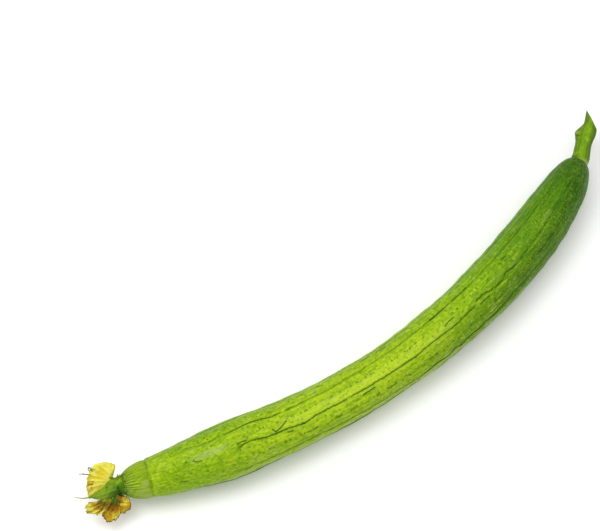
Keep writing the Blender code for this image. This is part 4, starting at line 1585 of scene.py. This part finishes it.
@dataclass
class Calyx:
    """The green receptacle behind the flower, with five sepals that end in threads, and short hairs."""

    form: Form
    finish: CalyxFinish = CalyxFinish()
    radius: float = 0.0096
    waist: float = 0.0060
    lip: float = 0.0042
    lip_side: float = 1.9
    lobes: int = 5
    lobe_height: float = 0.0003
    root_out: float = 0.0026
    root_radius: float = 0.0054
    thread_half_width: float = 0.00045
    half_thickness: float = 0.00040
    bow_radius: float = 0.0090
    sepals: tuple[Sepal, ...] = (
        Sepal(48, 24, -12, 0.0413, 0.0086, 0.30, 0.0050),
        Sepal(-25.7, 78.1, -59.6, 0.0110, 0.0066, 0.10, -0.0032, -79.4, 0.90),
        Sepal(-10.0, 35.5, 50.5, 0.0159, 0.0065, 0.12, -0.0010, 71.3, 0.85),
        Sepal(166, 28, -4, 0.0240, 0.0050, 0.30),
        Sepal(122, 84, 20, 0.0062, 0.0030, 0.12),
    )
    rows: int = 90
    columns: int = 26
    hair_count: int = 900
    hair_length: Span = (0.0004, 0.0010)
    hair_radius: float = 0.00005
    hair_root: float = 0.0002
    hair_seed: int = 7
    haired_length: float = 0.10  # a sepal of this length would carry all the hairs
    uneven: tuple[Triple, ...] = ((0.05, 19.0, 1.0),)
    weave: tuple[Triple, ...] = ((0.00045, 17.0, 4.0),)
    knot_grid: tuple[int, int] = (60, 96)
    knot_start: float = -0.0010
    lump_height: float = 0.00022
    lumps: Ripple = Ripple((200.0, 900.0), 11, 31)

    def receptacle(self) -> Shell:
        """The knot behind the petals: a radius that falls along it, with five lobes and soft lumps."""
        rings, sides = self.knot_grid
        share = shares(rings)
        angle = ring_angles(sides)
        rim = RECEPTACLE_LENGTH + self.lip * bell(angle, self.lip_side, 0.80)
        out = self.knot_start + (rim - self.knot_start) * share
        plain = self.waist + (self.radius - self.waist) * (1.0 - share) ** 1.4
        rounding = 1.0 - 0.10 * share**6 - 0.16 * (1.0 - share) ** 8
        lobe = self.lobe_height * np.cos(self.lobes * angle) * np.sin(math.pi * share)
        lumps = self.lump_height * self.lumps.at(out, angle) * np.sin(math.pi * share) ** 0.5
        points = turned(out, plain * rounding + lobe + lumps)
        # Painted shade: darker on one side of the knot.
        depth = 0.90 * np.cos(angle - 0.2) + 0.15 * np.cos(self.lobes * angle) + 0.0 * share
        blade = np.zeros((*depth.shape, 3))
        return round_shell(points, {"blade": blade, "depth": depth})

    def sepal_surface(self, sepal: Sepal, u: Array, v: Array) -> tuple[Array, Array]:
        """The middle surface of a sepal: broad near its foot, then a point, then a swaying thread.

        Half the width goes as 1 less the place along the blade to the power 1.5. Its foot is bowed
        round the receptacle: it falls away by the square of the distance across.

        Args:
            sepal: which one.
            u: place across, from -1 to 1.
            v: place along, from 0 to 1.

        Returns:
            Points in the flower's frame, and normals.
        """
        share = np.clip(v / (1.0 - sepal.thread), 0.0, 1.0)
        width = sepal.half_width * (1.0 - share**1.5) * (1.0 + sines(v, self.uneven, sepal.around))
        taper = 1.0 - 0.6 * ramp(v, 1.0 - sepal.thread, 1.0)
        across = u * np.maximum(width, self.thread_half_width * taper)
        lean = np.radians(sepal.lean + sepal.curl * v)
        twist = math.radians(sepal.twist) * ramp(v, 0.0, 0.35)
        aside, normal = blade_frame(math.radians(sepal.around), lean, twist)
        centre = midline(v * sepal.length, (self.root_out, self.root_radius), sepal)
        sway = sepal.sway * np.clip((v - 0.55) / 0.45, 0.0, 1.0) ** 1.5
        wave = sines(v, self.weave, sepal.around) * v
        keel = 0.12 * np.abs(across) - 0.10 * np.abs(across) * np.sin(24.0 * v) * ramp(v, 0.1, 0.5)
        bowed = np.abs(across) ** 2 / (2.0 * self.bow_radius) * (1.0 - np.clip(v, 0.0, 1.0)) ** 2
        shift, rise = across + sway + wave, keel + bowed
        return centre + shift[..., None] * aside + rise[..., None] * normal, normal

    def sepal(self, sepal: Sepal) -> Shell:
        """One sepal as a thin closed blade, thickest along its midrib."""
        u, v = blade_grid(self.rows, self.columns)
        middle, normal = self.sepal_surface(sepal, u, v)
        half = self.half_thickness * (0.35 + 0.65 * bell(u, 0.0, 0.35) + 0.20 * (1.0 - v))
        # Painted shade near the sepal's foot and towards one edge, or all along where the sepal asks.
        depth = np.maximum(0.85 * (1.0 - ramp(v, 0.05, 0.45)) * (1.0 - ramp(u, -0.2, 0.9)), sepal.shade)
        fields = {"blade": np.stack([u, v, 0.0 * u], -1), "depth": depth}
        return blade_shell(middle, half[..., None] * normal, fields)

    def fuzz(self) -> Shell:
        """Short hairs that stand off the receptacle and both faces of the sepals."""
        draw = np.random.default_rng(self.hair_seed)
        bases, ways = [], []
        for sepal in self.sepals:
            count = int(self.hair_count * sepal.length / self.haired_length)
            u = draw.uniform(-1.0, 1.0, (1, count))
            v = draw.uniform(0.02, 0.80, (1, count))
            base, normal = self.sepal_surface(sepal, u, v)
            face = np.where(draw.uniform(size=(1, count)) < 0.5, -1.0, 1.0)[..., None]
            way = normal * face + draw.normal(0.0, 0.35, base.shape)
            bases.append((base + normal * face * self.hair_root)[0])
            ways.append(way[0])
        count = self.hair_count // 2
        angle = draw.uniform(0.0, math.tau, count)
        out = draw.uniform(0.0, RECEPTACLE_LENGTH, count)
        radial = np.stack([0.0 * angle, np.cos(angle), np.sin(angle)], -1)
        swelling = (self.radius - self.waist) * (1.0 - out / RECEPTACLE_LENGTH) ** 2
        radius = self.waist + swelling - self.hair_root
        bases.append(np.stack([out, radius * np.cos(angle), radius * np.sin(angle)], -1))
        ways.append(radial + draw.normal(0.0, 0.30, radial.shape))
        base, way = np.concatenate(bases), unit(np.concatenate(ways))
        shell = hairs(base, way, draw.uniform(*self.hair_length, len(base)), self.hair_radius)
        shell.fields["depth"] = np.zeros(len(shell.points))
        return shell

    def build(self) -> None:
        """Make the calyx and dress it."""
        place = self.form.flower_frame()
        shells = [self.receptacle(), *(self.sepal(sepal) for sepal in self.sepals), self.fuzz()]
        shells = [shell.placed(place) for shell in shells]
        add_piece("gourd_calyx", "calyx", shells, self.finish.material())


@dataclass(frozen=True)
class PetalFinish:
    """Withered petal: pale yellow with fine veins, amber folds, a margin dried brown and grey, and a painted
    olive shadow where a sepal lies over one petal.
    """

    pale: Colour = linear(230, 226, 96)
    yellow: Colour = linear(218, 202, 46)
    amber: Colour = linear(192, 154, 12)
    russet: Colour = linear(134, 84, 6)
    brown: Colour = linear(80, 58, 4)
    grey: Colour = linear(104, 100, 72)
    vein: Colour = linear(188, 176, 40)
    base: Colour = linear(176, 186, 50)
    # Olive green, the colour of the painted sepal shadow.
    green: Colour = linear(96, 112, 4)
    sepal_shadow: float = 1.0  # number of the petal with a painted shadow, in olive, where the longest sepal lies over it
    cloud: Noise = Noise((190.0, 190.0, 190.0), 3.0, 0.6)
    fine: Noise = Noise((700.0, 700.0, 700.0), 3.0, 0.6)
    fibres: Noise = Noise((26.0, 2.2, 9.0), 3.0, 0.6)
    threads: Noise = Noise((70.0, 4.0, 9.0))
    fleck_cells: Triple = (420.0, 420.0, 420.0)
    relief: float = 0.0004
    roughness: float = 0.62
    specular: float = 0.15

    def material(self) -> Material:
        """The petals' material: the blade field holds place across, place along and each petal's number."""
        shade = Shade("gourd_petal")
        blade = shade.field("blade")
        across, along, number = shade.parts(blade)
        amber, brown, fold = shade.parts(shade.field("tint"))
        place = shade.place()
        cloud, fine = shade.noise(place, self.cloud), shade.noise(place, self.fine)
        fibres, threads = shade.noise(blade, self.fibres), shade.noise(blade, self.threads)
        shade.colour = shade.mix((cloud + 0.4 * fold).step(0.35, 0.75), self.pale, self.yellow)
        shade.lay((amber + 0.9 * (cloud - 0.5) + 0.25 * fold).step(0.25, 0.80), self.amber)
        shade.lay(fibres.near(0.5, 0.045, 0.005) * 0.42, self.vein)
        shade.lay(threads.step(0.54, 0.66) * 0.22, self.amber)
        shade.lay(along.step(0.32, 0.05) * 0.55, self.base)
        stain = brown * 1.4 + 1.1 * (cloud - 0.5) + 0.5 * (fine - 0.5) + 1.2 * (threads - 0.5)
        stain = stain.step(0.32, 0.70)
        shade.lay(stain * 0.9, self.russet)
        # Painted shadow: olive on one petal where the longest sepal lies over it.
        sepal_shadow = number.near(self.sepal_shadow, 0.5, 0.2) * along.near(0.42, 0.26, 0.10)
        shade.lay(sepal_shadow * (cloud + 0.6 * threads - 0.3).step(0.30, 0.60) * 0.85, self.green)
        streak = threads.step(0.50, 0.60) * along.step(0.42, 0.75) * amber.step(0.15, 0.50)
        shade.lay(streak * 0.60, self.russet)
        edge = abs(across).step(0.90, 1.0).most(along.step(0.93, 1.0))
        shade.lay((edge * (0.45 + brown) + 0.8 * (fine - 0.5)).step(0.40, 0.95) * 0.85, self.brown)
        shade.lay((edge * brown * 1.3 + 0.7 * (cloud - 0.5)).step(0.55, 0.90) * 0.75, self.grey)
        fleck = shade.spots(place, self.fleck_cells).step(0.22, 0.10)
        fleck = fleck * cloud.step(0.50, 0.62) * along.step(0.45, 0.75)
        shade.lay(fleck * 0.75, self.brown)
        height = abs(fibres - 0.5) + 0.35 * threads + 0.6 * fine - 0.3 * fleck
        rough = self.roughness + 0.15 * (cloud - 0.5) - 0.10 * stain
        return shade.finish(rough, shade.bump(height, self.relief, 0.8), self.specular)


@dataclass
class Corolla:
    """Five withered petals on one short tube: pleated fans, crumpled and rolled at their margins."""

    form: Form
    finish: PetalFinish = PetalFinish()
    throat_length: float = 0.0030
    throat_inner: float = 0.0024
    throat_outer: float = 0.0052
    root_radius: float = 0.0038
    root_reach: float = 0.0025
    root_inset: float = 0.0015
    twist_share: float = 0.30
    half_thickness: Span = (0.00040, 0.00020)
    creases: Ripple = Ripple((120.0, 520.0), 5, 40)
    fine_creases: Ripple = Ripple((500.0, 1500.0), 16, 60)
    roll: float = 0.0012
    torn: tuple[Triple, ...] = ((0.06, 9.0, 1.0), (0.04, 21.0, 2.0), (0.018, 47.0, 1.0), (0.012, 83.0, 0.0))
    bends: Span = (0.7, 0.35)  # shares of the soft and of the sharp folds
    stain_spread: float = 0.26
    outline_blur: float = 0.12
    rows: int = 76
    columns: int = 92
    petals: tuple[Petal, ...] = (
        Petal(145.0, 46.1, -17.1, -90.7, 0.0204, 56.2, 0.0010, 8, 0.4, 0.05, 0.00030,
              0.02, 0.05, 0.40, 0.9, 0.60,
              ((-1.0, 1.38), (-0.6, 1.30), (-0.2, 1.28), (0.2, 1.19), (0.6, 1.00), (1.0, 0.75))),
        Petal(-4.2, 47.9, -40.2, 64.2, 0.0283, 14.6, 0.0014, 4, 2.1, -0.15, 0.00080,
              0.30, 0.50, 0.5, 0.55, 0.2,
              ((-1.0, 0.80), (-0.6, 0.97), (-0.2, 1.12), (0.2, 1.22), (0.6, 1.17), (1.0, 1.10))),
        Petal(-19.4, 72.7, -19.0, -82.0, 0.0276, 21.1, 0.0012, 5, 1.2, 0.15, 0.00080,
              0.62, 0.90, 0.35, 0.42, 0.1,
              ((-1.0, 0.78), (-0.6, 0.96), (-0.2, 1.06), (0.2, 1.04), (0.6, 0.94), (1.0, 0.76))),
        Petal(-18.7, 64.3, 128.6, -72.6, 0.0238, 30.6, 0.0013, 5, 3.0, -0.05, 0.00080,
              0.60, 0.95, 0.4, 0.30, 0.2,
              ((-1.0, 0.70), (-0.6, 0.86), (-0.2, 0.94), (0.2, 1.09), (0.6, 1.01), (1.0, 0.72))),
        Petal(206, 52, 34, 10, 0.0210, 38, 0.0012, 6, 0.9, 0.10, 0.00070, 0.60, 0.40),
    )
    curls: tuple[tuple[Triple, ...], ...] = (
        ((0.0224, -0.0133, 0.0110), (0.0232, -0.0150, 0.0143), (0.0241, -0.0160, 0.0142),
         (0.0254, -0.0150, 0.0133), (0.0249, -0.0139, 0.0106)),
        ((0.0221, -0.0130, 0.0108), (0.0228, -0.0143, 0.0132), (0.0236, -0.0153, 0.0147)),
        ((0.0234, -0.0109, 0.0092), (0.0268, -0.0116, 0.0103), (0.0305, -0.0113, 0.0145),
         (0.0342, -0.0110, 0.0166)),
    )
    curl_radius: float = 0.00050
    curl_blur: float = 0.16
    throat_sides: int = 72

    def petal_surface(self, petal: Petal, u: Array, v: Array, nth: int) -> tuple[Array, Array, Array]:
        """The middle surface of a petal: a fan about its midline, pleated, creased and rolled up.

        Args:
            petal: which one.
            u: place across, from -1 to 1.
            v: place along, from 0 to 1.
            nth: its number, which picks its random creases.

        Returns:
            Points in the flower's frame, normals, and the height of the folds from -1 to 1.
        """
        outline = through(u, petal.outline, self.outline_blur)
        reach = petal.length * (outline + petal.ragged * sines(u, self.torn, petal.phase))
        distance = self.root_reach + v * (reach - self.root_reach)
        angle = np.radians(petal.spread) * u
        along = distance * np.cos(angle) - self.root_reach
        across = distance * np.sin(angle)
        share = np.clip(along / petal.length, 0.0, 1.0)
        lean = np.radians(petal.lean + petal.curl * share)
        twist = math.radians(petal.twist) * ramp(share, 0.0, self.twist_share)
        aside, normal = blade_frame(math.radians(petal.around), lean, twist)
        centre = midline(along, (THROAT_START + self.root_inset, self.root_radius), petal)
        fold = np.sin(petal.folds * math.pi * u + petal.phase)
        sharp = 1.0 - 2.0 * np.abs(np.sin(0.5 * petal.folds * math.pi * u + 1.3 * petal.phase)) ** 0.7
        bent = self.bends[0] * fold + self.bends[1] * sharp
        pleat = petal.pleat * v**1.5 * bent
        crease = petal.crumple * self.creases.at(distance, 2.2 * u, nth) * ramp(v, 0.1, 0.7)
        finer = 0.35 * petal.crumple * self.fine_creases.at(distance, 2.2 * u, nth) * v
        roll = self.roll * ramp(v, 0.86, 1.0) ** 2 * np.sin(4.0 * u + petal.phase)
        height = pleat + petal.cup * np.abs(across) * v + crease + finer + roll
        points = centre + across[..., None] * aside + height[..., None] * normal
        heights = bent * v + (crease + finer) / petal.crumple * 0.4
        return points, normal, np.clip(heights, -1.0, 1.0)

    def petal(self, petal: Petal, nth: int) -> Shell:
        """One petal as a thin closed blade, thinner towards its margin."""
        u, v = blade_grid(self.rows, self.columns)
        middle, normal, fold = self.petal_surface(petal, u, v, nth)
        root, margin = self.half_thickness
        half = root + (margin - root) * v
        amber = petal.amber + petal.lopsided * ramp(-u, -0.1, 1.0) * v
        amber = amber + petal.lopsided * bell(u, 0.12, 0.16) * ramp(v, 0.72, 0.95)
        stain = petal.brown * (0.10 + 0.90 * bell(v, petal.stain_at, self.stain_spread))
        streaks = 0.25 + 0.75 * np.abs(np.sin(23.0 * u + 0.5)) ** 2
        stain = stain + 0.9 * petal.lopsided * bell(u, -0.45, 0.24) * bell(v, 0.80, 0.14) * streaks
        stain = stain + 0.5 * petal.brown * ramp(v, 0.90, 1.0)
        tint = np.stack([amber, stain, fold], -1)
        blade = np.stack([u, v, nth + 0.0 * u], -1)
        return blade_shell(middle, half[..., None] * normal, {"blade": blade, "tint": tint})

    def throat(self) -> Shell:
        """The short tube that the petals grow from: a cup with a rounded rim."""
        inner, outer, end = self.throat_inner, self.throat_outer, THROAT_START + self.throat_length
        thick = 0.5 * (outer - inner)
        turn = np.linspace(0.0, math.pi, 12)
        wall = np.linspace(THROAT_START, end - thick, 10)
        out = np.concatenate([wall, end - thick + thick * np.sin(turn), wall[:0:-1]])
        rounded = outer - thick + thick * np.cos(turn)
        radius = np.concatenate([np.full_like(wall, outer), rounded, np.full_like(wall[1:], inner)])
        angle = ring_angles(self.throat_sides)
        lobes = 0.00025 * np.cos(5.0 * angle + 0.7) + 0.00008 * np.cos(23.0 * angle)
        points = turned(out[:, None], radius[:, None] + lobes)
        plain = np.zeros(points.shape[:2])
        blade = np.stack([plain, plain + 0.1, plain + 9.0], -1)
        return round_shell(points, {"blade": blade, "tint": np.stack([plain + 0.3, plain + 0.1, plain], -1)})

    def curl(self, knots: tuple[Triple, ...]) -> Shell:
        """A dried thread at a margin: a thin tube on a smooth line, tapering to both ends."""
        share = np.linspace(0.0, 1.0, 28)
        places = np.linspace(0.0, 1.0, len(knots))
        axes = (through(share, tuple(zip(places, axis)), self.curl_blur) for axis in zip(*knots))
        taper = (0.25 + 0.75 * np.sin(math.pi * share)) * (1.0 + 0.25 * np.sin(23.0 * share))
        rings = tube(np.stack(list(axes), -1), self.curl_radius * taper, 12)
        plain = np.zeros(rings.shape[:2])
        blade = np.stack([plain + 1.0, plain + 1.0, plain + 8.0], -1)
        return round_shell(rings, {"blade": blade, "tint": np.stack([plain + 1.0, plain + 0.9, plain], -1)})

    def build(self) -> None:
        """Make the corolla and dress it."""
        place = self.form.flower_frame()
        shells = [self.throat(), *(self.petal(petal, nth) for nth, petal in enumerate(self.petals))]
        shells += [self.curl(knots) for knots in self.curls]
        shells = [shell.placed(place) for shell in shells]
        add_piece("gourd_corolla", "corolla", shells, self.finish.material())


@dataclass(frozen=True)
class StyleFinish:
    """Dried style: brown and grooved, with a grainy ochre stigma."""

    stem: Colour = linear(150, 112, 44)
    groove: Colour = linear(84, 54, 20)
    stigma: Colour = linear(196, 158, 60)
    grain: Colour = linear(226, 200, 112)
    cloud: Noise = Noise((500.0, 500.0, 500.0), 3.0, 0.6)
    grain_cells: Triple = (2600.0, 2600.0, 2600.0)
    relief: float = 0.0002
    roughness: float = 0.7
    specular: float = 0.3

    def material(self) -> Material:
        """The style's material: the head field is 1 on the stigma."""
        shade = Shade("gourd_style")
        head = shade.number("head")
        place = shade.place()
        cloud = shade.noise(place, self.cloud)
        shade.colour = shade.mix(cloud.step(0.40, 0.65), self.stem, self.groove)
        shade.lay(head * 0.9, self.stigma)
        grains = shade.spots(place, self.grain_cells)
        shade.lay(grains.step(0.45, 0.15) * head * 0.8, self.grain)
        normal = shade.bump(0.8 * cloud - grains * head, self.relief, 0.9)
        return shade.finish(self.roughness + 0.2 * (cloud - 0.5), normal, self.specular)


@dataclass
class Style:
    """The dried style in the middle of the flower, with a stigma of three lobes."""

    form: Form
    finish: StyleFinish = StyleFinish()
    radius: float = 0.0012
    length: float = 0.0085
    stigma_radius: float = 0.0019
    stigma_from: float = 0.0050
    lobes: int = 3
    groove: float = 0.22
    rings: int = 90
    sides: int = 72
    swelling: float = 0.0015
    papilla_height: float = 0.00007
    papillae: Ripple = Ripple((1500.0, 5000.0), 24, 71)
    ribs: int = 9
    rib_height: float = 0.00006
    sunk: float = 0.0004

    def build(self) -> None:
        """Make the style, a ribbed stem that swells into lobes with papillae, and dress it."""
        share = shares(self.rings)
        angle = ring_angles(self.sides)
        out = share * self.length
        head = ramp(out, self.stigma_from, self.stigma_from + self.swelling) + 0.0 * angle
        dome = np.sqrt(np.clip(1.0 - share**6, 0.02, 1.0))
        radius = self.radius + (self.stigma_radius - self.radius) * head * dome
        lobes = self.groove * self.stigma_radius * head * np.cos(self.lobes * angle) * dome
        radius = radius * np.where(share > 0.85, dome**0.5, 1.0) + lobes
        papillae = self.papilla_height * self.papillae.at(out, angle) * head
        ribs = self.rib_height * np.cos(self.ribs * angle) * (1.0 - head)
        reach = THROAT_START - self.sunk + out * (1.0 + self.sunk / self.length)
        shell = round_shell(turned(reach, radius + papillae + ribs), {"head": head})
        shells = [shell.placed(self.form.flower_frame())]
        add_piece("gourd_style", "style", shells, self.finish.material())


# The studio


@dataclass
class Studio:
    """A pale floor, soft lamps, and the camera at the photograph's angle."""

    lens: float = 200.0
    sensor: float = 36.0
    turn: float = math.radians(39.66)
    elevation: float = math.radians(65.0)
    metres_per_pixel: float = 0.86e-3
    aim: Triple = (-0.00226, 0.12350, 0.0240)
    floor_size: float = 6.0
    floor_drop: float = 0.0002
    floor_points: int = 13
    floor_colour: Colour = (0.965, 0.965, 0.955)
    floor_dim: float = 0.985
    floor_cloud: Noise = Noise((3.0, 3.0, 3.0))
    floor_roughness: float = 0.42
    floor_specular: float = 0.3
    lit_point: Triple = (0.0, 0.02, 0.02)
    sky: Colour = (1.0, 1.0, 1.0)
    sky_strength: float = 0.79
    # Each lamp's place, size and power; every one faces the fruit's middle
    lamps: tuple[tuple[str, Triple, float, float], ...] = (
        ("lamp_key", (-0.75, 0.75, 1.70), 1.2, 12.0),
        ("lamp_fill", (0.90, -0.90, 1.60), 1.6, 4.0),
        ("lamp_top", (-0.05, 0.10, 2.20), 2.0, 10.5),
    )

    def floor_material(self) -> Material:
        """A pale matt table with a faint sheen and the slightest cloud in its tone."""
        shade = Shade("pale_floor")
        place = shade.place()
        cloud = shade.noise(place, self.floor_cloud)
        dim = tuple(self.floor_dim * part for part in self.floor_colour)
        shade.colour = shade.mix(cloud.step(0.3, 0.7), self.floor_colour, dim)
        return shade.finish(self.floor_roughness, None, self.floor_specular)

    def build_floor(self) -> None:
        """Lay the floor just under the fruit's lowest spots."""
        half = 0.5 * self.floor_size
        span = np.linspace(-half, half, self.floor_points)
        x, y = np.meshgrid(span, span)
        points = np.stack([x, y, np.full_like(x, -self.floor_drop)], -1).reshape(-1, 3)
        mesh = bpy.data.meshes.new("floor")
        faces = grid_faces(self.floor_points, self.floor_points, False)
        mesh.from_pydata(points.tolist(), [], faces.tolist())
        floor = bpy.data.objects.new("floor", mesh)
        bpy.context.scene.collection.objects.link(floor)
        mesh.materials.append(self.floor_material())

    def build_lamps(self) -> None:
        """Hang the lamps and set an even sky."""
        middle = Vector(self.lit_point)
        for name, place, size, power in self.lamps:
            data = bpy.data.lights.new(name, "AREA")
            data.shape = "DISK"
            data.size = size
            data.energy = power
            lamp = bpy.data.objects.new(name, data)
            lamp.location = place
            lamp.rotation_euler = (middle - Vector(place)).to_track_quat("-Z", "Y").to_euler()
            bpy.context.scene.collection.objects.link(lamp)
        world = bpy.data.worlds.new("even_sky")
        world.use_nodes = True
        sky = world.node_tree.nodes["Background"]
        sky.inputs["Color"].default_value = (*self.sky, 1.0)
        sky.inputs["Strength"].default_value = self.sky_strength
        bpy.context.scene.world = world

    def build_camera(self) -> None:
        """Set the camera: it looks down at the elevation, along the turn, from a long way off."""
        data = bpy.data.cameras.new("photo_camera")
        data.lens = self.lens
        data.sensor_width = self.sensor
        away = self.metres_per_pixel * PHOTO_SIZE[0] * self.lens / self.sensor
        flat = Vector((math.sin(self.turn), math.cos(self.turn), 0.0))
        look = flat * math.cos(self.elevation) - Vector((0.0, 0.0, math.sin(self.elevation)))
        right = Vector((math.cos(self.turn), -math.sin(self.turn), 0.0))
        camera = bpy.data.objects.new("photo_camera", data)
        turned_to = Matrix((right, right.cross(look), -look)).transposed().to_4x4()
        camera.matrix_world = Matrix.Translation(Vector(self.aim) - look * away) @ turned_to
        bpy.context.scene.collection.objects.link(camera)
        bpy.context.scene.camera = camera

    def build(self) -> None:
        """Set up the whole studio."""
        self.build_floor()
        self.build_lamps()
        self.build_camera()
        bpy.context.scene.view_settings.view_transform = "Standard"


def main() -> None:
    """Build the studio and every piece in order."""
    logging.basicConfig(level=logging.INFO, format="%(name)s: %(message)s")
    form = Form()
    Studio().build()
    for piece in (Gourd(form), Stalk(form), Calyx(form), Corolla(form), Style(form)):
        piece.build()
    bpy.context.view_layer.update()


if __name__ == "__main__":
    main()
